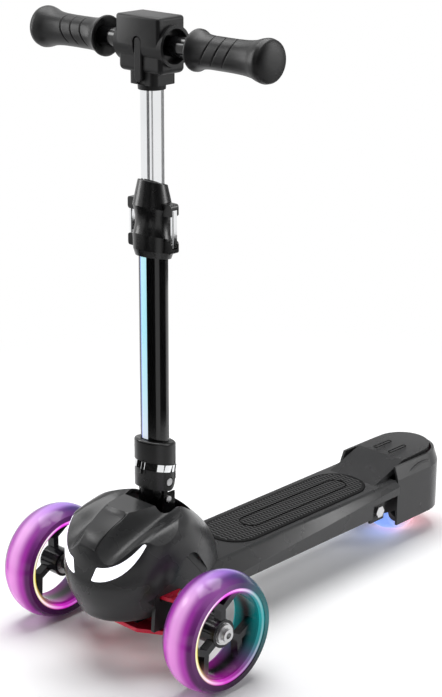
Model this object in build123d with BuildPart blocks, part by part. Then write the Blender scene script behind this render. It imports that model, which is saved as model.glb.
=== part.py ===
from build123d import *
import math
import os

os.makedirs("parts", exist_ok=True)

# A three-wheeled folding kick scooter for children. The rider leans the handlebar
# sideways to steer the two front wheels, and treads on the rear fender to brake.
# The frame: +Z is up, the scooter faces -Y, +X is the rider's left, the floor is Z = 0.

# Overall layout
WHEELBASE = 413.0
NOSE_OVERHANG = 67.5
TAIL_OVERHANG = 54.0
TRACK = 228.0
STEM_BEHIND_AXLE = 32.0
HANDLEBAR_HEIGHT = 600.6

# Clearances
SEAT = 0.05
RUNNING = 0.06
SEAM = 0.3
MOVING_GAP = 0.5

# Front wheels
FRONT_WHEEL_DIAMETER = 120.0
FRONT_WHEEL_WIDTH = 38.0
FRONT_TYRE_DEPTH = 14.0
FRONT_RIM_WALL = 4.5
LIGHT_RING_WIDTH = 4.0
SPOKE_WIDTH = 6.5
SPOKE_THICKNESS = 9.0
BEARING_OUTER_DIAMETER = 22.0
BEARING_BORE = 8.0
BEARING_WIDTH = 7.0
HUB_WALL = 3.0
HUB_LENGTH = 23.0
HUB_FACE_RECESS = 9.5
AXLE_WASHER_DIAMETER = 20.0

# Rear wheel
REAR_WHEEL_DIAMETER = 80.0
REAR_WHEEL_WIDTH = 36.0
REAR_TYRE_DEPTH = 11.0
REAR_HUB_LENGTH = 40.0

# Deck
DECK_TOP = 82.0
DECK_BOTTOM = 50.0
DECK_TOP_WIDTH = 80.0
DECK_CREASE_WIDTH = 92.0
DECK_BOTTOM_WIDTH = 87.0
DECK_CREASE_FRONT = 58.0
DECK_CREASE_REAR = 76.0
DECK_FRONT = 62.0
DECK_REAR = 366.0
DECK_SKIN = 4.0
DECK_RIB = 4.0
DECK_EDGE_RADIUS = 4.0
PAD_WIDTH = 65.0
PAD_FRONT = 115.0
PAD_REAR = 340.0
PAD_THICKNESS = 3.0
PAD_PROUD = 1.0
PAD_CORNER = 30.0

# Tail plate and brake fender
TAIL_WIDTH = 64.0
TAIL_RAMP_START = 338.0
TAIL_RAMP_END = 388.0
TAIL_RAMP_HEIGHT = 98.0
TAIL_TOP = 101.0
TAIL_THICKNESS = 5.0
TAIL_END_CLEARANCE = 3.0
FENDER_WIDTH = 84.0
FENDER_WALL = 2.6
FENDER_BOTTOM = 28.0
FENDER_SHOULDER = 82.0
FENDER_RIM = 96.5
FENDER_RIM_INSET = 4.6
BRAKE_PIVOT_BEHIND_AXLE = 337.0
BRAKE_PIVOT_HEIGHT = 54.0
BRAKE_ARM_THICKNESS = 3.5
BRAKE_WEB_THICKNESS = 3.0
BRAKE_PAD_THICKNESS = 4.0
BRAKE_PAD_GAP = 5.0
FORK_PLATE = 3.0
FORK_INNER_WIDTH = 48.0
BRACKET_INNER_WIDTH = 70.0
PIVOT_BOLT_DIAMETER = 8.0

# Front truck under the nose
PLATE_THICKNESS = 4.0
LOWER_PLATE_BOTTOM = 40.0
UPPER_PLATE_BOTTOM = 76.0
KINGPIN_SPACING = 148.0
KINGPIN_DIAMETER = 10.0
KNUCKLE_DIAMETER = 19.0
STEER_ARM_LENGTH = 32.0
TIE_ROD_HEIGHT = 58.0
TIE_ROD_THICKNESS = 5.0
TIE_ROD_WIDTH = 14.0
LINK_PIN_DIAMETER = 6.0
LINK_EYE_CLEARANCE = 0.9
LEAN_PIVOT_HEIGHT = 90.0
LEAN_PIN_DIAMETER = 10.0
LEAN_LUG_RADIUS = 12.0
LEAN_LUG_LENGTH = 27.0
EAR_THICKNESS = 7.0
FRAME_WIDTH = 52.0
FRAME_WEB = 6.0
BUFFER_HEIGHT = 15.5

# Nose cover: level sections given as height, half width, front and rear reach
NOSE_SECTIONS = [
    (52.0, 36.0, -46.0, 70.0),
    (64.0, 52.0, -60.0, 90.0),
    (80.0, 60.0, -66.5, 104.0),
    (100.0, 65.0, -67.5, 96.0),
    (120.0, 64.5, -64.0, 83.0),
    (134.0, 62.5, -57.5, 69.0),
    (144.0, 59.0, -46.0, 58.0),
    (152.0, 50.0, -31.0, 48.0),
    (157.5, 30.0, -21.5, 40.0),
]
# Top of the nose in cross sections, given as offset from the axle, half width and height of the hood's edge, then
# the heights of the valley beside the hood, of the fender's crest and of the crease outside it
NOSE_TOP = [
    (-80.0, 11.0, 108.0, 104.0, 106.0, 100.0),
    (-52.0, 12.0, 138.0, 123.5, 129.5, 122.0),
    (-24.0, 15.5, 155.0, 136.5, 143.5, 136.5),
    (4.0, 19.0, 159.5, 145.5, 149.0, 144.5),
    (32.0, 21.5, 161.0, 155.0, 153.0, 149.5),
    (60.0, 22.0, 162.0, 159.0, 156.0, 153.0),
]
NOSE_VALLEY_X = 31.0
NOSE_CREST_X = 49.0
NOSE_CREASE_X = 58.0
NOSE_SKIRT_X = 74.0
NOSE_SKIRT_FALL = 11.0
NOSE_HOOD_RISE = 6.0
NOSE_WIDEST = -5.0
NOSE_WALL = 3.0
WELL_WIDTH = 108.0
HOOD_PROUD = 1.2
HOOD_SEAT = 1.4
POST_HOLE_WIDTH = 64.0
POST_HOLE_LENGTH = 46.0

# Steering post and folding joint
POST_DIAMETER = 30.0
FOLD_PIVOT_HEIGHT = 175.4
FOLD_PIN_DIAMETER = 6.0
BRACKET_BELOW_PIVOT = 37.4
RIVET_BELOW_PIVOT = 18.3
RIVET_GRIP = 4.7
RING_BELOW_PIVOT = 32.4
RIVET_SHANK_DIAMETER = 4.2
RIVET_HEAD_DIAMETER = 7.6
TONGUE_WIDTH = 15.0
TONGUE_RADIUS = 8.0
COLLAR_DIAMETER = 40.6
COLLAR_BELOW_PIVOT = 9.4
COLLAR_ABOVE_PIVOT = 40.1
COLLAR_SLANT = 0.23
BAND_HEIGHT = 7.0
BAND_ABOVE_PIVOT = 14.1
BAND_DEPTH = 3.6
LATCH_PIN_DIAMETER = 3.0

# Telescopic stem and clamp
LOWER_TUBE_DIAMETER = 28.0
LOWER_TUBE_WALL = 2.0
LOWER_TUBE_TOP = 441.0
UPPER_TUBE_DIAMETER = 22.0
UPPER_TUBE_WALL = 1.5
UPPER_TUBE_BOTTOM = 270.0
STRIP_WIDTH = 8.0
STRIP_THICKNESS = 1.6
CLAMP_BOTTOM = 400.0
CLAMP_WAIST_BOTTOM = 420.0
CLAMP_WAIST_TOP = 446.7
CLAMP_TOP = 472.0
CLAMP_WAIST_RADIUS = 17.2
CLAMP_BELT_RADIUS = 19.8
CLAMP_TOP_RADIUS = 14.3
SQUEEZE_BAR_HEIGHT = 37.0
SQUEEZE_BAR_WIDTH = 6.4
SQUEEZE_BAR_THICKNESS = 3.0
SQUEEZE_BAR_REACH = 29.5
SQUEEZE_TRAVEL = 2.5

# Handlebar
HEAD_WIDTH = 55.0
HEAD_DEPTH = 32.0
HEAD_TOP = 627.0
HEAD_BOTTOM = 575.0
HEAD_COLLAR_BOTTOM = 559.0
HEAD_COLLAR_DIAMETER = 25.8
BOSS_DIAMETER = 38.0
BAR_DIAMETER = 19.0
GRIP_START = 58.0
HANDLEBAR_WIDTH = 300.0
GRIP_DIAMETER = 30.0
GRIP_FLARE_DIAMETER = 40.0
GRIP_FLANGE_DIAMETER = 38.5
LEVER_WIDTH = 9.6
LEVER_TOP = 608.0
LEVER_BOTTOM = 567.0
LEVER_THICKNESS = 5.0

# Places worked out from the sizes above
FRONT_AXLE_Y = (NOSE_OVERHANG - WHEELBASE - TAIL_OVERHANG) / 2
REAR_AXLE_Y = FRONT_AXLE_Y + WHEELBASE
STEM_Y = FRONT_AXLE_Y + STEM_BEHIND_AXLE
FRONT_AXLE_Z = FRONT_WHEEL_DIAMETER / 2
REAR_AXLE_Z = REAR_WHEEL_DIAMETER / 2
KINGPIN_X = KINGPIN_SPACING / 2
BRAKE_PIVOT_Y = FRONT_AXLE_Y + BRAKE_PIVOT_BEHIND_AXLE
LOWER_PLATE_TOP = LOWER_PLATE_BOTTOM + PLATE_THICKNESS
FRAME_WEB_TOP = LOWER_PLATE_TOP + FRAME_WEB
UPPER_PLATE_TOP = UPPER_PLATE_BOTTOM + PLATE_THICKNESS
FENDER_RADIUS = FENDER_WIDTH / 2
FENDER_CENTRE_Y = REAR_AXLE_Y + TAIL_OVERHANG - FENDER_RADIUS
COLLAR_BOTTOM = FOLD_PIVOT_HEIGHT - COLLAR_BELOW_PIVOT
COLLAR_TOP = FOLD_PIVOT_HEIGHT + COLLAR_ABOVE_PIVOT
BAND_CENTRE = FOLD_PIVOT_HEIGHT + BAND_ABOVE_PIVOT
SIDES = {"left": 1, "right": -1}


def save(builder, name):
    builder.part.label = name
    export_step(builder.part, f"parts/{name}.step")


def across(x, y=0.0, z=0.0):
    """A plane square to X, whose own axes run along Y and Z."""
    return Plane(origin=(x, y, z), x_dir=(0, 1, 0), z_dir=(1, 0, 0))


def upright(y):
    """A plane square to Y, whose own axes run along X and Z."""
    return Plane(origin=(0, y, 0), x_dir=(1, 0, 0), z_dir=(0, -1, 0))


def slanted(height, slant):
    """A plane through the stem axis that drops towards the rear."""
    return Plane(origin=(0, STEM_Y, height), x_dir=(1, 0, 0), z_dir=(0, slant, 1))


def rod(x_from, x_to, y, z, diameter, mode=Mode.ADD):
    """A round bar along X, added to or cut from the part being built."""
    with BuildSketch(across(x_from, y, z)) as section:
        Circle(diameter / 2)
    extrude(section.sketch, amount=x_to - x_from, mode=mode)


def post(x, y, z_from, z_to, diameter, mode=Mode.ADD):
    """A round bar along Z, added to or cut from the part being built."""
    with BuildSketch(Plane.XY.offset(z_from)) as section:
        with Locations((x, y)):
            Circle(diameter / 2)
    extrude(section.sketch, amount=z_to - z_from, mode=mode)


def block(x_span, y_span, z_span, mode=Mode.ADD):
    """A rectangular block between pairs of limits."""
    with Locations(((x_span[0] + x_span[1]) / 2, (y_span[0] + y_span[1]) / 2, (z_span[0] + z_span[1]) / 2)):
        Box(x_span[1] - x_span[0], y_span[1] - y_span[0], z_span[1] - z_span[0], mode=mode)


# Deck: a ribbed plastic body whose side crease climbs towards the rear
def deck_section(y, crease, grow=0.0):
    top = DECK_TOP + grow
    bottom = DECK_BOTTOM - grow
    outline = [
        (DECK_TOP_WIDTH / 2 + grow, top),
        (DECK_CREASE_WIDTH / 2 + grow, crease),
        (DECK_BOTTOM_WIDTH / 2 + grow, bottom),
    ]
    with BuildSketch(upright(y)) as section:
        with BuildLine():
            Polyline(outline + [(-x, z) for x, z in reversed(outline)], close=True)
        make_face()
        fillet(section.vertices().group_by(Axis.Y)[-1], DECK_EDGE_RADIUS)
    return section.sketch


def deck_form(front, rear, grow=0.0):
    with BuildPart() as form:
        loft([deck_section(front, DECK_CREASE_FRONT, grow), deck_section(rear, DECK_CREASE_REAR, grow)],
             ruled=True)
    return form.part


deck_front_y = FRONT_AXLE_Y + DECK_FRONT
deck_rear_y = FRONT_AXLE_Y + DECK_REAR
tail_end_y = REAR_AXLE_Y + TAIL_OVERHANG - (FENDER_RIM_INSET + FENDER_WALL) - TAIL_END_CLEARANCE
tail_start_y = FRONT_AXLE_Y + TAIL_RAMP_START
tail_crest_y = FRONT_AXLE_Y + TAIL_RAMP_END

with BuildPart() as tail_plate:
    with BuildSketch(Plane.YZ):
        with BuildLine():
            Polyline(
                (tail_start_y, DECK_TOP),
                (tail_crest_y, TAIL_RAMP_HEIGHT),
                (tail_end_y, TAIL_TOP),
                (tail_end_y, TAIL_TOP - TAIL_THICKNESS),
                (tail_crest_y, TAIL_RAMP_HEIGHT - TAIL_THICKNESS),
                (deck_rear_y - DECK_SKIN, DECK_TOP),
                (deck_rear_y - DECK_SKIN, DECK_TOP - DECK_SKIN),
                (tail_start_y, DECK_TOP - DECK_SKIN),
                close=True,
            )
        make_face()
    extrude(amount=TAIL_WIDTH / 2, both=True)
    with BuildSketch(Plane.XY.offset(DECK_BOTTOM)):
        with Locations((0, (tail_start_y + tail_end_y - TAIL_WIDTH / 2) / 2)):
            Rectangle(TAIL_WIDTH, tail_end_y - TAIL_WIDTH / 2 - tail_start_y)
        with Locations((0, tail_end_y - TAIL_WIDTH / 2)):
            Circle(TAIL_WIDTH / 2)
    extrude(amount=TAIL_TOP, mode=Mode.INTERSECT)

pocket_rows = 6
pocket_columns = 2
pocket_field = deck_rear_y - deck_front_y - 60.0
pocket_length = (pocket_field - DECK_RIB * (pocket_rows + 1)) / pocket_rows
pocket_width = (DECK_TOP_WIDTH - DECK_RIB * (pocket_columns + 1)) / pocket_columns
pocket_depth = DECK_TOP - DECK_SKIN - DECK_BOTTOM
pad_centre_y = FRONT_AXLE_Y + (PAD_FRONT + PAD_REAR) / 2

with BuildPart() as deck_shell:
    add(deck_form(deck_front_y, deck_rear_y))
    add(tail_plate.part)
    with Locations((0, deck_front_y + pocket_field / 2, DECK_BOTTOM + pocket_depth / 2 - 2)):
        with GridLocations(pocket_width + DECK_RIB, pocket_length + DECK_RIB, pocket_columns, pocket_rows):
            Box(pocket_width, pocket_length, pocket_depth - 2, mode=Mode.SUBTRACT)
    rear_bay_front = deck_front_y + pocket_field
    block(
        (-BRACKET_INNER_WIDTH / 2 - FORK_PLATE - SEAM, BRACKET_INNER_WIDTH / 2 + FORK_PLATE + SEAM),
        (rear_bay_front, deck_rear_y + 1),
        (DECK_BOTTOM - 1, DECK_TOP - DECK_SKIN),
        mode=Mode.SUBTRACT,
    )
    block((-DECK_CREASE_WIDTH, DECK_CREASE_WIDTH), (BRAKE_PIVOT_Y - 15, deck_rear_y + 1),
          (DECK_BOTTOM - 1, BRAKE_PIVOT_HEIGHT + 12), mode=Mode.SUBTRACT)
    with BuildSketch(Plane.XY.offset(DECK_TOP - PAD_THICKNESS + PAD_PROUD)):
        with Locations((0, pad_centre_y)):
            RectangleRounded(PAD_WIDTH + 2 * SEAM, PAD_REAR - PAD_FRONT + 2 * SEAM, PAD_CORNER)
    extrude(amount=PAD_THICKNESS, mode=Mode.SUBTRACT)
save(deck_shell, "deck_shell")

with BuildPart() as grip_pad:
    with BuildSketch(Plane.XY.offset(DECK_TOP - PAD_THICKNESS + PAD_PROUD)):
        with Locations((0, pad_centre_y)):
            RectangleRounded(PAD_WIDTH, PAD_REAR - PAD_FRONT, PAD_CORNER)
    extrude(amount=PAD_THICKNESS)
    chamfer(grip_pad.faces().sort_by(Axis.Z)[-1].edges(), 0.6)
save(grip_pad, "grip_pad")

# Front truck: two plates that hold the kingpins, and a cast frame between them
plate_front = -28.0
plate_end_radius = 10.5
bolt_spots = [(-16, -12), (16, -12), (-16, 2), (16, 2)]
frame_bolt_diameter = 6.0


def truck_plate(bottom, front):
    with BuildSketch(Plane.XY.offset(bottom)) as outline:
        with Locations((0, FRONT_AXLE_Y)):
            SlotCenterToCenter(KINGPIN_SPACING, 2 * plate_end_radius)
        with BuildLine():
            Polyline(
                (-KINGPIN_X + 10, FRONT_AXLE_Y - plate_end_radius),
                (-FRAME_WIDTH / 2 - 8, FRONT_AXLE_Y + front),
                (FRAME_WIDTH / 2 + 8, FRONT_AXLE_Y + front),
                (KINGPIN_X - 10, FRONT_AXLE_Y - plate_end_radius),
                (KINGPIN_X - 10, FRONT_AXLE_Y + plate_end_radius),
                (FRAME_WIDTH / 2, FRONT_AXLE_Y + plate_end_radius),
                (-FRAME_WIDTH / 2, FRONT_AXLE_Y + plate_end_radius),
                (-KINGPIN_X + 10, FRONT_AXLE_Y + plate_end_radius),
                close=True,
            )
        make_face()
    extrude(outline.sketch, amount=PLATE_THICKNESS)
    for side in SIDES.values():
        post(side * KINGPIN_X, FRONT_AXLE_Y, bottom - 1, bottom + PLATE_THICKNESS + 1,
             KINGPIN_DIAMETER + 2 * SEAT, Mode.SUBTRACT)
    for x, y in bolt_spots:
        post(x, FRONT_AXLE_Y + y, bottom - 1, bottom + PLATE_THICKNESS + 1,
             frame_bolt_diameter + 2 * SEAT, Mode.SUBTRACT)


with BuildPart() as truck_lower_plate:
    truck_plate(LOWER_PLATE_BOTTOM, plate_front)
save(truck_lower_plate, "truck_lower_plate")

with BuildPart() as truck_upper_plate:
    truck_plate(UPPER_PLATE_BOTTOM, -plate_end_radius - 6)
save(truck_upper_plate, "truck_upper_plate")

ear_gap = LEAN_LUG_LENGTH + 2 * MOVING_GAP
front_ear = (STEM_Y - ear_gap / 2 - EAR_THICKNESS, STEM_Y - ear_gap / 2)
rear_ear = (STEM_Y + ear_gap / 2, STEM_Y + ear_gap / 2 + EAR_THICKNESS)
shelf_top = LEAN_PIVOT_HEIGHT - LEAN_LUG_RADIUS + 2 - SEAM - BUFFER_HEIGHT
shelf_bottom = TIE_ROD_HEIGHT + TIE_ROD_THICKNESS / 2 + MOVING_GAP
lever_half_width = 9.0
tongue_end_y = deck_front_y + 70

with BuildPart() as front_frame:
    block((-FRAME_WIDTH / 2, FRAME_WIDTH / 2), (FRONT_AXLE_Y - 20, rear_ear[1]),
          (LOWER_PLATE_TOP, FRAME_WEB_TOP))
    block((-22, 22), (rear_ear[1], tongue_end_y), (DECK_BOTTOM - FRAME_WEB, DECK_BOTTOM))
    block((-FRAME_WIDTH / 2 + 3, FRAME_WIDTH / 2 - 3), (FRONT_AXLE_Y - 20, FRONT_AXLE_Y + 8),
          (FRAME_WEB_TOP, UPPER_PLATE_BOTTOM))
    for ear in (front_ear, rear_ear):
        with BuildSketch(upright(ear[1])):
            with BuildLine():
                Polyline(
                    (-FRAME_WIDTH / 2, FRAME_WEB_TOP),
                    (FRAME_WIDTH / 2, FRAME_WEB_TOP),
                    (FRAME_WIDTH / 2, shelf_top),
                    (LEAN_LUG_RADIUS, LEAN_PIVOT_HEIGHT),
                    (-LEAN_LUG_RADIUS, LEAN_PIVOT_HEIGHT),
                    (-FRAME_WIDTH / 2, shelf_top),
                    close=True,
                )
            make_face()
            with Locations((0, LEAN_PIVOT_HEIGHT)):
                Circle(LEAN_LUG_RADIUS)
        extrude(amount=EAR_THICKNESS)
    for side in SIDES.values():
        block(sorted((side * (lever_half_width + 4), side * FRAME_WIDTH / 2)), (front_ear[1], rear_ear[0]),
              (shelf_bottom, shelf_top))
    with BuildSketch(upright(rear_ear[1] + 1)):
        with Locations((0, LEAN_PIVOT_HEIGHT)):
            Circle(LEAN_PIN_DIAMETER / 2 + SEAT)
    extrude(amount=rear_ear[1] - front_ear[0] + 2, mode=Mode.SUBTRACT)
    for x, y in bolt_spots:
        post(x, FRONT_AXLE_Y + y, LOWER_PLATE_TOP - 1, UPPER_PLATE_BOTTOM + 1,
             frame_bolt_diameter + 2 * SEAT, Mode.SUBTRACT)
save(front_frame, "front_frame")

with BuildPart() as kingpins:
    for side in SIDES.values():
        post(side * KINGPIN_X, FRONT_AXLE_Y, LOWER_PLATE_BOTTOM - 4, UPPER_PLATE_TOP + 6, KINGPIN_DIAMETER)
        post(side * KINGPIN_X, FRONT_AXLE_Y, LOWER_PLATE_BOTTOM - 5, LOWER_PLATE_BOTTOM, KINGPIN_DIAMETER + 6)
        with BuildSketch(Plane.XY.offset(UPPER_PLATE_TOP)):
            with Locations((side * KINGPIN_X, FRONT_AXLE_Y)):
                RegularPolygon(KINGPIN_DIAMETER * 0.85, 6)
        extrude(amount=6)
save(kingpins, "kingpins")

with BuildPart() as frame_hardware:
    for x, y in bolt_spots:
        post(x, FRONT_AXLE_Y + y, LOWER_PLATE_BOTTOM, UPPER_PLATE_TOP, frame_bolt_diameter)
        post(x, FRONT_AXLE_Y + y, LOWER_PLATE_BOTTOM - 4, LOWER_PLATE_BOTTOM, frame_bolt_diameter + 4)
        with BuildSketch(Plane.XY.offset(UPPER_PLATE_TOP)):
            with Locations((x, FRONT_AXLE_Y + y)):
                RegularPolygon(frame_bolt_diameter * 0.85, 6)
        extrude(amount=4.5)
    with BuildSketch(upright(rear_ear[1])):
        with Locations((0, LEAN_PIVOT_HEIGHT)):
            Circle(LEAN_PIN_DIAMETER / 2)
    extrude(amount=rear_ear[1] - front_ear[0])
    for y in (rear_ear[1] + 4, front_ear[0]):
        with BuildSketch(upright(y)):
            with Locations((0, LEAN_PIVOT_HEIGHT)):
                RegularPolygon(LEAN_PIN_DIAMETER * 0.8, 6)
        extrude(amount=4)
save(frame_hardware, "frame_hardware")

buffer_width = 11.0
buffer_length = ear_gap - 6
with BuildPart() as lean_buffers:
    for side in SIDES.values():
        with Locations((side * (FRAME_WIDTH / 2 - buffer_width / 2 - 1), STEM_Y,
                        shelf_top + BUFFER_HEIGHT / 2)):
            Box(buffer_width, buffer_length, BUFFER_HEIGHT)
    fillet(lean_buffers.edges().filter_by(Axis.Z), 2)
save(lean_buffers, "lean_buffers")

# Steering knuckles, the tie rod and the steering post that drives it
arm_top = TIE_ROD_HEIGHT - TIE_ROD_THICKNESS / 2 - 1
arm_bottom = LOWER_PLATE_TOP + 4
knuckle_face = TRACK / 2 - FRONT_WHEEL_WIDTH / 2 - 3
hub_outer = TRACK / 2 + FRONT_WHEEL_WIDTH / 2 - HUB_FACE_RECESS
hub_inner = hub_outer - HUB_LENGTH

for name, side in SIDES.items():
    with BuildPart() as knuckle:
        post(side * KINGPIN_X, FRONT_AXLE_Y, LOWER_PLATE_TOP + MOVING_GAP, UPPER_PLATE_BOTTOM - MOVING_GAP,
             KNUCKLE_DIAMETER)
        rod(side * KINGPIN_X, side * knuckle_face, FRONT_AXLE_Y, FRONT_AXLE_Z, KNUCKLE_DIAMETER)
        rod(side * knuckle_face, side * (hub_inner - SEAM), FRONT_AXLE_Y, FRONT_AXLE_Z, BEARING_BORE + 4)
        with BuildSketch(Plane.XY.offset(arm_bottom)):
            with BuildLine():
                Polyline(
                    (side * (KINGPIN_X - KNUCKLE_DIAMETER / 2), FRONT_AXLE_Y),
                    (side * (KINGPIN_X + KNUCKLE_DIAMETER / 2), FRONT_AXLE_Y),
                    (side * (KINGPIN_X + LINK_PIN_DIAMETER), FRONT_AXLE_Y + STEER_ARM_LENGTH),
                    (side * (KINGPIN_X - LINK_PIN_DIAMETER), FRONT_AXLE_Y + STEER_ARM_LENGTH),
                    close=True,
                )
            make_face()
            with Locations((side * KINGPIN_X, FRONT_AXLE_Y + STEER_ARM_LENGTH)):
                Circle(LINK_PIN_DIAMETER)
        extrude(amount=arm_top - arm_bottom)
        post(side * KINGPIN_X, FRONT_AXLE_Y + STEER_ARM_LENGTH, arm_top,
             TIE_ROD_HEIGHT + TIE_ROD_THICKNESS / 2 + 2, LINK_PIN_DIAMETER)
        post(side * KINGPIN_X, FRONT_AXLE_Y, LOWER_PLATE_BOTTOM, UPPER_PLATE_TOP,
             KINGPIN_DIAMETER + 2 * RUNNING, Mode.SUBTRACT)
        rod(side * (KINGPIN_X + KINGPIN_DIAMETER / 2 + 2), side * hub_inner, FRONT_AXLE_Y, FRONT_AXLE_Z,
            BEARING_BORE + 2 * SEAT, Mode.SUBTRACT)
    save(knuckle, f"knuckle_{name}")

    with BuildPart() as axle_bolt:
        rod(side * (KINGPIN_X + KINGPIN_DIAMETER / 2 + 2.5), side * (hub_outer + MOVING_GAP), FRONT_AXLE_Y,
            FRONT_AXLE_Z, BEARING_BORE)
        rod(side * (hub_outer + MOVING_GAP), side * (hub_outer + MOVING_GAP + 2), FRONT_AXLE_Y, FRONT_AXLE_Z,
            AXLE_WASHER_DIAMETER)
        rod(side * (hub_outer + MOVING_GAP + 2), side * (hub_outer + MOVING_GAP + 6), FRONT_AXLE_Y,
            FRONT_AXLE_Z,
            AXLE_WASHER_DIAMETER * 0.62)
        with BuildSketch(across(side * (hub_outer + MOVING_GAP + 6), FRONT_AXLE_Y, FRONT_AXLE_Z)):
            RegularPolygon(3.4, 6)
        extrude(amount=-side * 4, mode=Mode.SUBTRACT)
    save(axle_bolt, f"axle_bolt_{name}")

link_eye = LINK_PIN_DIAMETER + 2 * LINK_EYE_CLEARANCE
ball_diameter = 10.0
ball_eye = ball_diameter + 2 * LINK_EYE_CLEARANCE
with BuildPart() as tie_rod:
    with BuildSketch(Plane.XY.offset(TIE_ROD_HEIGHT - TIE_ROD_THICKNESS / 2)):
        with Locations((0, STEM_Y)):
            SlotCenterToCenter(KINGPIN_SPACING, TIE_ROD_WIDTH)
            Circle(ball_eye / 2 + 4)
            Circle(ball_eye / 2, mode=Mode.SUBTRACT)
        with Locations((-KINGPIN_X, STEM_Y), (KINGPIN_X, STEM_Y)):
            Circle(link_eye / 2, mode=Mode.SUBTRACT)
    extrude(amount=TIE_ROD_THICKNESS)
save(tie_rod, "tie_rod")

# The steering post leans on its pin, and its saddle lets the stem fold back over it
collar_radius = COLLAR_DIAMETER / 2
wing_bottom = shelf_top + BUFFER_HEIGHT + SEAM
wing_top = wing_bottom + 5
bracket_half_width = POST_DIAMETER / 2 + 2.5
bracket_rear = STEM_Y + POST_DIAMETER / 2 + 3
bracket_bottom = FOLD_PIVOT_HEIGHT - BRACKET_BELOW_PIVOT
lower_rivet_height = FOLD_PIVOT_HEIGHT - RIVET_BELOW_PIVOT
rivet_head_height = 1.4
fold_relief = collar_radius + MOVING_GAP
knuckle_relief = (FOLD_PIVOT_HEIGHT - COLLAR_BOTTOM) / math.hypot(1, COLLAR_SLANT)

with BuildPart() as fold_sweep:
    with BuildSketch(upright(STEM_Y + 80)):
        with Locations((0, FOLD_PIVOT_HEIGHT)):
            Circle(fold_relief)
    extrude(amount=80.3)
    with BuildSketch(across(-40, STEM_Y, FOLD_PIVOT_HEIGHT)):
        Circle(knuckle_relief + MOVING_GAP)
    extrude(amount=80)
    with BuildSketch(slanted(COLLAR_BOTTOM - SEAM, COLLAR_SLANT)):
        Rectangle(90, 120)
    extrude(amount=60)

with BuildPart() as steering_post:
    post(0, STEM_Y, LEAN_PIVOT_HEIGHT + LEAN_LUG_RADIUS + MOVING_GAP, FOLD_PIVOT_HEIGHT, POST_DIAMETER)
    add(fold_sweep.part, mode=Mode.SUBTRACT)
    block((-LEAN_LUG_RADIUS + 1, LEAN_LUG_RADIUS - 1),
          (STEM_Y - LEAN_LUG_LENGTH / 2, STEM_Y + LEAN_LUG_LENGTH / 2),
          (LEAN_PIVOT_HEIGHT, LEAN_PIVOT_HEIGHT + LEAN_LUG_RADIUS + 2))
    with BuildSketch(across(-TONGUE_WIDTH / 2, STEM_Y, FOLD_PIVOT_HEIGHT)):
        Circle(TONGUE_RADIUS)
        with Locations((0, -TONGUE_RADIUS * 2)):
            Rectangle(2 * TONGUE_RADIUS, 4 * TONGUE_RADIUS)
    extrude(amount=TONGUE_WIDTH)
    rod(-TONGUE_WIDTH, TONGUE_WIDTH, STEM_Y, FOLD_PIVOT_HEIGHT, FOLD_PIN_DIAMETER + 2 * RUNNING,
        Mode.SUBTRACT)
    with BuildSketch(upright(STEM_Y + LEAN_LUG_LENGTH / 2)):
        with Locations((0, LEAN_PIVOT_HEIGHT)):
            Circle(LEAN_LUG_RADIUS)
        with Locations((0, (wing_bottom + wing_top) / 2)):
            Rectangle(FRAME_WIDTH - 2, wing_top - wing_bottom)
    extrude(amount=LEAN_LUG_LENGTH)
    block((-lever_half_width, lever_half_width), (STEM_Y - 6, STEM_Y + 6),
          (TIE_ROD_HEIGHT + TIE_ROD_THICKNESS / 2 + 3, LEAN_PIVOT_HEIGHT))
    post(0, STEM_Y, TIE_ROD_HEIGHT, LEAN_PIVOT_HEIGHT, 6)
    with Locations((0, STEM_Y, TIE_ROD_HEIGHT)):
        Sphere(ball_diameter / 2)
    with BuildSketch(upright(STEM_Y + LEAN_LUG_LENGTH)):
        with Locations((0, LEAN_PIVOT_HEIGHT)):
            Circle(LEAN_PIN_DIAMETER / 2 + RUNNING)
    extrude(amount=2 * LEAN_LUG_LENGTH, mode=Mode.SUBTRACT)
    rod(-POST_DIAMETER, POST_DIAMETER, STEM_Y, lower_rivet_height, RIVET_SHANK_DIAMETER + 2 * SEAT,
        Mode.SUBTRACT)
save(steering_post, "steering_post")

with BuildPart() as hinge_bracket:
    block((-bracket_half_width, bracket_half_width), (STEM_Y - 5.5, bracket_rear),
          (bracket_bottom, FOLD_PIVOT_HEIGHT))
    add(fold_sweep.part, mode=Mode.SUBTRACT)
    post(0, STEM_Y, bracket_bottom - 1, FOLD_PIVOT_HEIGHT + 1, POST_DIAMETER + 2 * SEAT, Mode.SUBTRACT)
    rod(-POST_DIAMETER, POST_DIAMETER, STEM_Y, lower_rivet_height, RIVET_SHANK_DIAMETER + 2 * SEAT,
        Mode.SUBTRACT)
save(hinge_bracket, "hinge_bracket")

with BuildPart() as bracket_rivet:
    for side in SIDES.values():
        rod(side * (bracket_half_width - RIVET_GRIP), side * bracket_half_width, STEM_Y, lower_rivet_height,
            RIVET_SHANK_DIAMETER)
        rod(side * bracket_half_width, side * (bracket_half_width + rivet_head_height), STEM_Y,
            lower_rivet_height,
            RIVET_HEAD_DIAMETER - 1.2)
save(bracket_rivet, "bracket_rivet")

post_ring_height = FOLD_PIVOT_HEIGHT - RING_BELOW_PIVOT
post_ring_thickness = 3.0
post_ring_diameter = POST_DIAMETER + 6
with BuildPart() as post_ring:
    with BuildSketch(Plane.XY.offset(post_ring_height)):
        with Locations((0, STEM_Y)):
            Circle(post_ring_diameter / 2)
            Circle(POST_DIAMETER / 2 + SEAT, mode=Mode.SUBTRACT)
    extrude(amount=-post_ring_thickness)
    block((-POST_DIAMETER, POST_DIAMETER), (STEM_Y - 5.5 - SEAT, STEM_Y + POST_DIAMETER),
          (post_ring_height - post_ring_thickness - 1, post_ring_height + 1), mode=Mode.SUBTRACT)
save(post_ring, "post_ring")

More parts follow.
